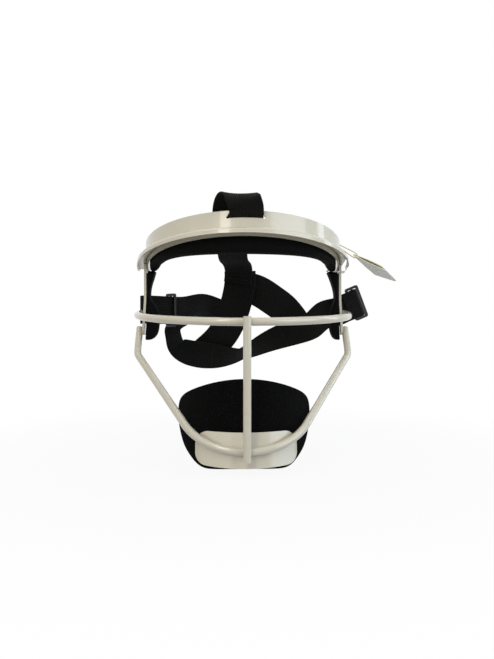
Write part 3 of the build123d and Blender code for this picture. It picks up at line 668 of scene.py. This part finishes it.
# %% Make the nape strap
nape_gap = 0.9 * millimetre
nape_top = (rear_layer + slider_run * (slider_straight + webbing_width / 2)
            + slider_back * (webbing_thickness + nape_gap))
nape_fall_shares = [(0, 0, 0.420), (0, 0.020, -0.150), (-0.200, 0.240, -0.430), (-0.450, 0.340, -0.670),
                    (-0.420, 0.330, -0.985), (-0.330, 0.315, -1.280)]
nape_shares = [(-0.577, 0.860, -0.880), (-0.300, 0.970, -0.965), (0.000, 1.000, -0.920),
               (0.239, 0.960, -0.715), (0.546, 0.827, -0.475), (0.765, 0.610, -0.305)]
nape_turn_in = np.array([-7.0, 4.0, -1.5]) * millimetre
nape_places = np.concatenate([
    nape_top + np.array(nape_fall_shares) * webbing_width, harness(nape_shares),
    [right_slot + nape_turn_in, right_slot, right_slot + buckle_run * fold_reach]])
slot_way = np.array([buckle_way[0], 0, buckle_way[2]])
nape_ways = [slider_run, slider_run, (0.62, 0.75, -0.1), (0.5, 0.85, 0), (0.5, 0.85, 0.1),
             (0.45, 0.75, 0.4), (0.3, 0.3, 0.9), (0, -0.3, 0.95), (0, -0.88, 0.47), (-0.3, -0.65, 0.7),
             (-0.4, -0.2, 0.9), (-0.42, 0, 0.9), slot_way, slot_way, buckle_way]
nape = spline_strap("nape_cloth", nape_places, nape_ways, "nape_strap", count=260,
                    ends=[(0, 0, -1), buckle_run])

# %% Make the nape strap's fold round the right slider
fold_bend = 1.0 * millimetre
fold_step = 0.6 * millimetre
outer_ply = -(fold_layer + webbing_thickness * 1.5)
inner_ply = -(fold_layer + webbing_thickness * 0.5)
fold_start = fold_reach - buckle_reach
bar_turn = fold_layer + webbing_thickness / 2
fold_plan = [(fold_start, outer_ply), (bar_turn * 0.2, outer_ply), (bar_turn * 1.05, -bar_turn * 0.9),
             (bar_turn * 0.9, bar_turn * 0.9), (-bar_turn * 0.9, bar_turn * 0.9),
             (-bar_turn * 1.3, inner_ply), (fold_start, inner_ply)]
fold_corners = [buckle_middle + buckle_run * ahead + buckle_back * behind for ahead, behind in fold_plan]
fold_points = rounded_run(fold_corners, fold_bend, fold_step)
strap("right_fold_cloth", fold_points, np.tile(buckle_way, (len(fold_points), 1)), "right_strap_end")

# %% [markdown]
# ## Stitching
#
# The harness is lock-stitched where its pieces meet. A bump could hint at the thread, but would not stand
# off the cloth when it is seen from the side. Here a stitch is a short arch of thread, and a seam is a line
# drawn on the cloth in its own two directions, along and across. All stitches of a seam are made at once, as
# one array, so that a hundred of them cost one small mesh.

# %% Stitch helpers
stitch_pitch = 2.6 * millimetre
stitch_length = 2.1 * millimetre
stitch_rows = 6
stitch_sides = 6
stitch_arch = 1.1
stitch_sink = 0.1
stitch_taper = 0.3
stitch_tip = 0.02
thread_radius = 0.27 * millimetre


def seam(name, run, corners, face):
    """Stitches along a line of (along, across) corners on one face of a strap.

    A stitch runs straight from start to end and rises by sin(pi u), and its radius is that of the thread
    times sin(pi u) ** 0.3, with u from 0 to 1.
    """
    points, side, up = run
    lengths = travelled(points)
    corners = np.array(corners, dtype=float)
    marks = travelled(corners)
    starts = np.arange(0, marks[-1] - stitch_length, stitch_pitch)
    share = np.linspace(0, 1, stitch_rows)
    drawn = between(starts[:, None] + share * stitch_length, marks, corners)
    along, across = drawn[..., 0], drawn[..., 1]
    arch = stitch_arch * np.sin(pi * share) - stitch_sink
    height = face * (webbing_thickness / 2 + thread_radius * arch)
    lift, width = (unit(between(along, lengths, ways)) for ways in (up, side))
    centre = between(along, lengths, points) + width * across[..., None] + lift * height[:, None]
    sideways = unit(np.cross(unit(np.gradient(centre, axis=1)), lift))
    turn = np.linspace(0, 2 * pi, stitch_sides, endpoint=False)[:, None]
    swell = thread_radius * np.maximum(np.sin(pi * share), stitch_tip) ** stitch_taper
    rim = lift[:, :, None] * np.cos(turn) + sideways[:, :, None] * np.sin(turn)
    grid = centre[:, :, None] + rim * swell[:, None, None]
    spots = np.arange(grid[..., 0].size).reshape(grid.shape[:3])
    ahead = np.roll(spots, -1, axis=2)
    quads = np.stack([spots[:, :-1], spots[:, 1:], ahead[:, 1:], ahead[:, :-1]], axis=-1).reshape(-1, 4)
    ends = np.concatenate([spots[:, 0], spots[:, -1, ::-1]])
    piece = smooth_piece(name, grid, quads.tolist() + ends.tolist(), black_thread)
    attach(piece, "guard")
    print(name, "stitches", len(starts))


# %% Make the seams
seam_inset = 4.0 * millimetre
seam_half = webbing_width * 0.42
box_half = webbing_width * 0.4
arm_seam_out = arm_width * 0.42
left_crossing = np.array([-29.0, 60.0]) * millimetre
right_crossing = np.array([41.8, 50.0]) * millimetre


def across_seam(name, run, along, face):
    """A straight seam across a strap."""
    seam(name, run, [(along, -seam_half), (along, seam_half)], face)


def box_seam(name, run, start, end, face):
    """A box of stitches with one diagonal, as a machine sews it without lifting."""
    box = [(start, -box_half), (start, box_half), (end, box_half), (end, -box_half)]
    seam(name, run, box + [box[0], box[2]], face)


def run_length(run):
    """The length of a strap."""
    return travelled(run[0])[-1]


def length_at(run, crossing):
    """How far along a strap it passes a place from side to side, behind a given depth."""
    points = run[0]
    distance = np.abs(points[:, 0] - crossing[0]) + (points[:, 1] < crossing[1])
    return travelled(points)[np.argmin(distance)]


for face, side_name in ((1, "outer"), (-1, "inner")):
    across_seam(f"top_seam_{side_name}", top_strap, seam_inset, face)
    across_seam(f"top_second_seam_{side_name}", top_strap, seam_inset * 2, face)
    across_seam(f"fold_seam_{side_name}", top_strap, run_length(top_strap) - seam_inset, face)
    box_seam(f"nape_box_{side_name}", nape, seam_inset * 0.6, seam_inset * 4, face)
    across_seam(f"tail_seam_{side_name}", adjuster, run_length(adjuster) - seam_inset, face)
    seam(f"left_arm_seam_{side_name}", left_arm,
         [(seam_inset, arm_seam_out), (seam_inset * 8, arm_seam_out)], face)
    across_seam(f"right_arm_seam_{side_name}", right_arm, seam_inset * 2, face)
    across_seam(f"nape_left_seam_{side_name}", nape, length_at(nape, left_crossing), face)
    across_seam(f"nape_right_seam_{side_name}", nape, length_at(nape, right_crossing), face)

# %% [markdown]
# ## Foam pads
#
# The pads are moulded closed-cell foam with a thin skin: firm, crowned, and round at every edge. Simulated
# cloth would puff them up like cushions, but they hold no stuffing and have no cover to drape. So each is a
# surface worked out directly. The brow pad is one section carried round the band; the side pads are one
# outline carried from front to back, drawn in at both faces.


# %% Pad helpers
def foam_piece(name, grid, node, slot_name):
    """A foam surface in place of its solid."""
    piece = grid_piece(name, grid, finishes[slot_name])
    stand_for(piece, node, "guard")
    print(name, "points", grid.shape[0] * grid.shape[1])


def superellipse(turn, power):
    """A rounded square: cosine and sine, each with its sign kept and its size to the power 2 / n."""
    return [np.sign(wave) * np.abs(wave) ** (2 / power) for wave in (np.cos(turn), np.sin(turn))]


def past_angle(angle, start, reach):
    """How far angles to either side are past a start, from 0 there to 1 a reach further."""
    return np.clip((np.abs(angle) - start) / reach, 0, 1)


def even_loop(points, count, soften):
    """A closed outline at even steps, its corners rounded by a running mean.

    The mean weighs a point d away by exp(-(d / soften) ** 2). Multiplying Fourier transforms is a running
    mean on a closed loop.
    """
    closed = np.concatenate([points, points[:1]])
    lengths = travelled(closed)
    even = between(np.linspace(0, lengths[-1], count, endpoint=False), lengths, closed)
    step = lengths[-1] / count
    near = np.minimum(np.arange(count), count - np.arange(count)) * step
    weight = np.exp(-(near / soften) ** 2)
    weight /= weight.sum()
    return np.real(np.fft.ifft(np.fft.fft(even, axis=0) * np.fft.fft(weight)[:, None], axis=0))


# %% Make the brow pad
pad_wall = 81.5 * millimetre
brow_drop = 6.6 * millimetre
brow_depth = 30.1 * millimetre
brow_end_depth = 20.6 * millimetre
brow_swell = 1.6 * millimetre
brow_thickness = 10.5 * millimetre
brow_crown = 2.2 * millimetre
brow_half_angle = radians(86)
brow_round_angle = radians(6)
brow_end_power = 2.6
brow_end_least = 0.03
brow_end_thinning = 0.6
brow_section_power = 3.4
brow_end_sag = 4.4 * millimetre
brow_sag_angle = radians(16)
brow_end_slimming = 0.38
brow_rows, brow_columns = 181, 72
band_back = np.array([0, cos(band_tilt), -sin(band_tilt)])


def brow_grid():
    """The brow pad's section, a superellipse, carried round the band.

    Towards each end it shrinks by (1 - past ** 2.6) ** (1 / 2.6), sags and gets slimmer. A point is the
    band's middle + the way out at its angle * its distance out + up * its fall.
    """
    angle = brow_half_angle * np.sin(np.linspace(-1, 1, brow_rows)[:, None] * pi / 2)
    past = past_angle(angle, brow_half_angle - brow_round_angle, brow_round_angle)
    sagging = past_angle(angle, brow_half_angle - brow_sag_angle, brow_sag_angle)
    size = np.maximum(1 - past ** brow_end_power, brow_end_least) ** (1 / brow_end_power)
    flat, tall = superellipse(np.linspace(0, 2 * pi, brow_columns, endpoint=False)[None, :],
                              brow_section_power)
    depth = brow_end_depth + (brow_depth - brow_end_depth) * np.cos(angle) ** 2 + brow_end_sag * sagging ** 2
    thickness = brow_thickness * (1 - brow_end_thinning * (1 - size)) * (1 - brow_end_slimming * sagging)
    crowned = brow_crown * (1 - tall ** 2) * np.clip(-flat, 0, 1) * size
    out = pad_wall - thickness * (1 - flat) / 2 - crowned
    fall = -(brow_drop + depth) / 2 + (depth - brow_drop + brow_swell) / 2 * tall * size
    out_way = np.sin(angle)[..., None] * np.array([1, 0, 0]) - np.cos(angle)[..., None] * band_back
    return band_middle + out_way * out[..., None] + fall[..., None] * band_up


foam_piece("brow_cushion", brow_grid(), "brow_pad", "black_foam")

# %% Make the side pads
side_front = 0.4 * millimetre
side_width = 13.5 * millimetre
side_top = 33.2 * millimetre
side_bottom = -27.0 * millimetre
side_thickness = 11.5 * millimetre
side_round = 1.9 * millimetre
side_soften = 1.2 * millimetre
side_slimming = 1.9
side_inner_count, side_outer_count = 90, 60
side_loop_count = 200
pad_seat = 3.2 * millimetre / cos(strip_splay)
right_side_shares = [(1.0, 0.74), (0.90, 0.52), (0.80, 0.34), (0.66, 0.18), (0.58, 0.20), (0.50, 0.38),
                     (0.36, 0.62), (0.20, 0.66), (0.08, 0.56), (0.02, 0.38), (0.0, 0.22)]
left_side_shares = [(1.0, 0.58), (0.90, 0.42), (0.80, 0.26), (0.66, 0.16), (0.58, 0.24), (0.50, 0.58),
                    (0.36, 0.88), (0.20, 0.92), (0.08, 0.80), (0.02, 0.52), (0.0, 0.3)]
backwards = np.array([0, 1.0, 0])


def side_level(rise_share):
    """The height at a share of the side pad's rise."""
    return side_bottom + (side_top - side_bottom) * rise_share


def side_place(rise_share, thickness_share):
    """A point of the side pad's outline, with no depth."""
    level = side_level(rise_share)
    wall = strip_face + np.maximum(0, strip_bend - level) * tan(strip_splay) - pad_seat
    return np.stack([wall - side_thickness * thickness_share, np.zeros_like(level), level], axis=-1)


def side_rows(edge_count=7, middle_count=6):
    """Each row's depth, and its share of the edge's inset: a quarter round, a straight, a quarter round."""
    edge_turn = np.linspace(0, pi / 2, edge_count)
    near = side_front + side_round * (1 - np.sin(edge_turn))
    middle = np.linspace(side_front + side_round, side_front + side_width - side_round, middle_count)[1:-1]
    inset = 1 - np.cos(edge_turn)
    return (np.concatenate([near[::-1], middle, 2 * side_front + side_width - near]),
            np.concatenate([inset[::-1], np.zeros(len(middle)), inset]))


def side_grid(shares):
    """The right side pad: its outline in each row, drawn in by the row's inset, less where it is slim."""
    rise_shares, thick_shares = np.array(shares).T
    inner_side = smooth_path(side_place(rise_shares, thick_shares), side_inner_count)[0]
    outer_side = side_place(np.linspace(0, 1, side_outer_count), np.zeros(side_outer_count))
    loop = even_loop(np.concatenate([inner_side, outer_side]), side_loop_count, side_soften)
    ahead = unit(np.roll(loop, -1, axis=0) - np.roll(loop, 1, axis=0))
    inwards = np.cross(ahead, backwards)
    inwards *= np.sign(np.sum(inwards * (loop.mean(axis=0) - loop)))
    fullness = np.minimum(1, thick_shares[::-1] * side_slimming)
    slimness = np.interp(loop[:, 2], side_level(rise_shares[::-1]), fullness)[:, None]
    depths, insets = side_rows()
    return (loop + insets[:, None, None] * side_round * slimness * inwards
            + depths[:, None, None] * backwards)


for side_name, mirrored, shares in (("right", 1, right_side_shares), ("left", -1, left_side_shares)):
    foam_piece(f"{side_name}_side_cushion", side_grid(shares) * np.array([mirrored, 1, 1]),
               f"{side_name}_side_pad", "black_foam")

# %% [markdown]
# ## Chin pad
#
# The chin pad is a curved slab of foam with loop cloth bonded to its front. A flat outline could be thickened
# with a modifier and then bent, but its rim would stay sharp. Here both layers are one outline wrapped on a
# cylinder, in rows that run from the middle of the front, over the edge, to the middle of the back. That
# closes the slab with no seam at its rim, which is where a real bonded edge is soft and round.

# %% Draw the chin pad's outline
seam_gap = 0.05 * millimetre
hook_sheet = 1.1 * millimetre
plate_sheet = 1.5 * millimetre
chin_lean = radians(12)
chin_radius = 63.0 * millimetre
chin_wrap = radians(57.7)
chin_back = np.array([0, cos(chin_lean), -sin(chin_lean)])
chin_up = np.array([0, sin(chin_lean), cos(chin_lean)])
chin_middle = np.array([0, -88.9, -106.0]) * millimetre + chin_back * chin_radius
plate_inside = chin_radius - plate_sheet
chin_overhang = 1.2 * millimetre
chin_shift = -0.9 * millimetre
chin_half_width = plate_inside * sin(chin_wrap) + chin_overhang
foot_half_width = chin_half_width - 19.0 * millimetre
cheek_half_width = chin_half_width - 5.5 * millimetre
crown_rise = 53.2 * millimetre
corner_rise = 43.5 * millimetre
shoulder_rise = 24.0 * millimetre
cheek_rise = 4.0 * millimetre
foot_rise = -12.6 * millimetre
chin_soften = 8.5 * millimetre
chin_loop_count = 220
crown_share = np.linspace(-1, 1, 41)
crown = np.stack([crown_share * chin_half_width, np.zeros_like(crown_share),
                  crown_rise - (crown_rise - corner_rise) * crown_share ** 2], axis=1)
right_edge = np.array([(chin_half_width, 0, shoulder_rise), (cheek_half_width, 0, cheek_rise),
                       (foot_half_width, 0, foot_rise)])
left_edge = right_edge[::-1] * np.array([-1, 1, 1])
chin_outline = even_loop(np.concatenate([crown, right_edge, left_edge]), chin_loop_count, chin_soften)
chin_outline = chin_outline + [chin_shift, 0, 0]
chin_centre = np.array([chin_shift, 0, (crown_rise + foot_rise) / 2])
print("chin pad", chin_outline.max(axis=0) - chin_outline.min(axis=0))

# %% Make the chin pad's two layers
skin_sheet = 1.3 * millimetre
skin_rim = 0.012
chin_foam_sheet = 8.5 * millimetre
chin_foam_rim = 0.075
chin_foam_belly = 1.0 * millimetre
face_shares = np.array([0.02, 0.2, 0.4, 0.6, 0.75, 0.86])
rim_rows = 13


def chin_slab(name, node, slot_name, outer, sheet, rim, belly=0.0):
    """A slab on the chin's cylinder, where x = r sin a and depth = r cos a, with a half-round rim."""
    rim_turn = np.linspace(0, pi, rim_rows)
    flat = np.ones(len(face_shares))
    row_share = np.concatenate([face_shares, 1 - rim + rim * np.sin(rim_turn), face_shares[::-1]])
    row_rise = np.concatenate([flat, np.cos(rim_turn), -flat])
    spread = chin_centre + (chin_outline - chin_centre) * row_share[:, None, None]
    turn = np.arcsin(np.clip(spread[..., 0] / plate_inside, -1, 1))
    bulge = belly * (1 - row_share ** 2) * (row_rise < 0)
    radius = (outer - sheet / 2 + sheet / 2 * row_rise - bulge)[:, None]
    grid = (chin_middle + (radius * np.sin(turn))[..., None] * np.array([1, 0, 0])
            - (radius * np.cos(turn))[..., None] * chin_back + spread[..., 2:] * chin_up)
    foam_piece(name, grid, node, slot_name)


skin_radius = plate_inside - hook_sheet - 2 * seam_gap
chin_slab("chin_loop_face", "chin_pad_skin", "loop_fabric", skin_radius, skin_sheet, skin_rim)
chin_slab("chin_cushion", "chin_pad_foam", "black_foam", skin_radius - skin_sheet - seam_gap,
          chin_foam_sheet, chin_foam_rim, chin_foam_belly)

# %% [markdown]
# ## Tag string
#
# A thin twisted string ties the tag on: a loop round the right temple strip, and two strands from there
# through the hole in the card. Straight tubes between its turns would look like bent wire, and this string is
# limp. So its line is one smooth spline through a few points.

# %% Lay the string's two routes
string_diameter = 0.9 * millimetre
strand_reach = 14.5 * millimetre
card_edge = 4.0 * millimetre
hole_gap = 0.5 * millimetre
tag_fall = radians(31)
tag_pivot = np.array([85.5, 7.0, 56.5]) * millimetre
tag_out = np.array([cos(tag_fall), 0, -sin(tag_fall)])
tag_up = np.array([sin(tag_fall), 0, cos(tag_fall)])
tag_corner = tag_pivot + tag_out * strand_reach
tag_hole = tag_corner + tag_out * card_edge
string_out = tag_out * string_diameter
string_up = tag_up * string_diameter
hole_lift = tag_up * hole_gap + string_up * 2
strand_middle = (tag_pivot + tag_hole) / 2
strand_route = np.array([
    tag_pivot + string_up, strand_middle + string_up * 2, tag_hole + hole_lift - string_out,
    tag_hole + string_out / 3, tag_hole - hole_lift - string_out, strand_middle - string_up * 2,
    tag_pivot - string_up])
loop_route = np.array([
    (76, 13, 34.1), (73.5, 6, 34.0), (74.5, -1.2, 33.8), (80, -3.0, 32.4), (88.4, -2.8, 33.1),
    (89.9, 4, 33.4), (89.6, 14, 32.6), (89.1, 21.8, 36.5), (88.2, 22.8, 45), (87.4, 20.8, 53),
    (86.8, 15, 57.4), (86.2, 8.3, 57.8)]) * millimetre
print("tag hole", tag_hole)

# %% [markdown]
# ## Swing tag
#
# The tag is a small folded card that hangs by one corner, a white leaf below and a yellow one above that
# juts out behind it. A hole could be cut in a flat sheet, but cutting leaves ragged faces. So a leaf is a
# ring of rays from the string's hole out to the card's four edges. The nearest edge along a ray ends it, and
# a high power mean of the edges rounds the corners.

# %% Make the tag's two leaves
card_sheet = 0.45 * millimetre
card_hole = 1.6 * millimetre
card_bow = 1.1 * millimetre
leaf_gap = 0.1 * millimetre
card_rays = 96
card_rings = 9
card_corner_power = 16


def tag_leaf(name, node, length, half_width, widest_share, shift, side, finish):
    """A kite of card with a hole: a point is hole + ray * (hole radius + share * (reach - hole radius)).

    The reach along a ray is the power mean (sum of (normal . ray / distance) ** p) ** (-1 / p) of the edges.
    """
    widest = length * widest_share
    corners = np.array([(0, 0), (widest, shift + half_width), (length, 0), (widest, shift - half_width)])
    edges = np.roll(corners, -1, axis=0) - corners
    normals = unit(np.stack([edges[:, 1], -edges[:, 0]], axis=1))
    normals *= np.sign(np.sum(normals * (corners - corners.mean(axis=0)), axis=1))[:, None]
    middle = np.array([card_edge, 0])
    distances = np.sum(normals * (corners - middle), axis=1)
    turn = np.linspace(0, 2 * pi, card_rays, endpoint=False)
    rays = np.stack([np.cos(turn), np.sin(turn)], axis=1)
    nearness = np.clip(rays @ normals.T / distances, 0, None)
    reach = np.sum(nearness ** card_corner_power, axis=1) ** (-1 / card_corner_power)
    out_share = np.linspace(0, 1, card_rings)
    spread = middle + rays * (card_hole + out_share[:, None] * (reach - card_hole))[..., None]
    along = np.clip(spread[..., 0] / length, 0, 1)
    bow = side * card_bow * np.sin(pi * along) + side * (card_sheet / 2 + leaf_gap)
    layers = np.concatenate([bow + card_sheet / 2, (bow - card_sheet / 2)[::-1]])
    plan = np.concatenate([spread, spread[::-1]])
    grid = tag_corner + plan[..., :1] * tag_out + plan[..., 1:] * backwards + layers[..., None] * tag_up
    piece = grid_piece(name, grid, finish, ring=True)
    stand_for(piece, node, "tag")
    print(name, "reach", round(float(reach.max()), 4))
    return piece


white_leaf = tag_leaf("tag_white_leaf", "hang_tag_back", length=47 * millimetre,
                      half_width=19.5 * millimetre, widest_share=0.62, shift=0.0, side=-1, finish=tag_card)
yellow_leaf = tag_leaf("tag_yellow_leaf", "hang_tag_front", length=44 * millimetre,
                       half_width=17.0 * millimetre, widest_share=0.55, shift=4.5 * millimetre, side=1,
                       finish=yellow_card)


# %% Tie the tag on
def tag_string(name, route, node, body, length, finish):
    """A round string on one open spline, its route's points the control points."""
    curve = bpy.data.curves.new(name, "CURVE")
    curve.dimensions = "3D"
    spline = curve.splines.new("NURBS")
    spline.points.add(len(route) - 1)
    spline.points.foreach_set("co", np.column_stack([route, np.ones(len(route))]).ravel())
    spline.order_u = 3
    spline.use_endpoint_u = True
    spline.resolution_u = 12
    curve.bevel_depth = string_diameter / 2
    curve.bevel_resolution = 3
    curve.use_fill_caps = True
    curve.materials.append(finish)
    piece = add_object(name, curve)
    stand_for(piece, node, body)
    print(name, "points", len(route), "length", length)


strand_length = 0.0398
loop_length = 0.0823
tag_string("tag_strand_string", strand_route, "tag_strands", "tag", strand_length, yellow_string)
tag_string("tag_loop_string", loop_route, "tag_loop", "guard", loop_length, white_string)

# %% [markdown]
# ## Floor and sky
#
# The guard stands against plain white. More light would whiten the room too, but it would bleach the
# enamel. So the floor and the sky are each mixed from two shaders: a modest one that lights the object, and
# a plain white that only the eye sees, straight on or in a reflection. The floor keeps a little of its own
# diffuse white close to the object, and so a soft shadow.

# %% Make the floor
floor_gap = 2.0 * millimetre
floor_half_width = 6.0
shadow_reach, white_reach = 0.12, 0.40
near_white = 0.93


def seen_rays(nodes):
    """One where a ray comes from the camera, a reflection or a clear piece, and zero elsewhere."""
    rays = [nodes.node("ShaderNodeLightPath", out=kind)
            for kind in ("Is Camera Ray", "Is Glossy Ray", "Is Transmission Ray")]
    return rays[0].math("MAXIMUM", rays[1]).math("MAXIMUM", rays[2])


paper = Finish("paper")
paper.set(Base_Color=gray(0.45), Roughness=0.9)
floor_reach = paper.node("ShaderNodeVectorMath", {"operation": "LENGTH"}, out="Value", _0=paper.place())
white_share = paper.node("ShaderNodeMapRange", {"interpolation_type": "SMOOTHSTEP"}, _0=floor_reach,
                         _1=shadow_reach, _2=white_reach, _3=near_white, _4=1.0)
diffuse_white = Socket(paper, paper.shader.outputs[0])
plain_white = paper.node("ShaderNodeEmission", Color=gray(1.0), Strength=1.0)
floor_mix = paper.node("ShaderNodeMixShader", _0=seen_rays(paper) * white_share, _1=diffuse_white,
                       _2=plain_white)
paper.put(paper.tree.nodes["Material Output"].inputs["Surface"], floor_mix)
floor_level = cad_box[0][2] - floor_gap
floor_corners = np.array([(-1, -1, 0), (1, -1, 0), (1, 1, 0), (-1, 1, 0)]) * floor_half_width
floor = smooth_piece("floor", floor_corners + [0, 0, floor_level], [(0, 1, 2, 3)], paper.material)
print("floor", floor_level)

# %% Make the sky
world = bpy.data.worlds.new("daylight")
world.use_nodes = True
bpy.context.scene.world = world
sky = Nodes(world.node_tree)
daylight = sky.tree.nodes["Background"]
sky.put(daylight.inputs["Color"], (0.86, 0.90, 1.0, 1))
sky.put(daylight.inputs["Strength"], 0.35)
white_sky = sky.node("ShaderNodeBackground", Color=gray(1.0), Strength=1.0)
sky_mix = sky.node("ShaderNodeMixShader", _0=seen_rays(sky), _1=Socket(sky, daylight.outputs[0]),
                   _2=white_sky)
sky.put(sky.tree.nodes["World Output"].inputs["Surface"], sky_mix)
print("sky nodes", len(sky.tree.nodes))

# %% [markdown]
# ## Lamps
#
# The photograph is lit by daylight from two tall windows, one ahead on the left and one beside on the right.
# Each shows as a sharp upright stripe in the band's enamel. A painted stripe would stay put when the guard is
# turned, so real lamps make them. A stripe's place on a round band gives the window's direction, because the
# light leaves at the angle at which the eye's line meets the band. Three soft lamps fill the shade.


# %% Make the lamps
def lamp(name, place, size, power, color):
    """A rectangular lamp that faces the object's middle. Its size is its width and height."""
    data = bpy.data.lights.new(name, "AREA")
    data.shape = "RECTANGLE"
    data.size, data.size_y = size
    data.energy = power
    data.color = color
    made = add_object(name, data)
    across, ahead, up = place
    made.location = place
    made.rotation_euler = (np.arctan2(np.hypot(across, ahead), up), 0, np.arctan2(-across, ahead) + pi)


lamp("left_window", (-0.40, -0.97, 0.76), (0.24, 1.2), 5, (1.0, 0.93, 0.80))
lamp("right_window", (1.16, 0.22, 0.45), (0.22, 1.2), 2.6, (0.82, 0.91, 1.0))
lamp("left_fill", (-1.1, -1.2, 0.2), (1.4, 1.4), 5, (1.0, 0.94, 0.84))
lamp("right_fill", (1.3, -0.9, 0.5), (1.2, 1.2), 10.5, (0.82, 0.92, 1.0))
lamp("top", (0, 0.1, 1.4), (1.4, 1.4), 7, (1.0, 1.0, 1.0))
print("lamps", len(bpy.data.lights))
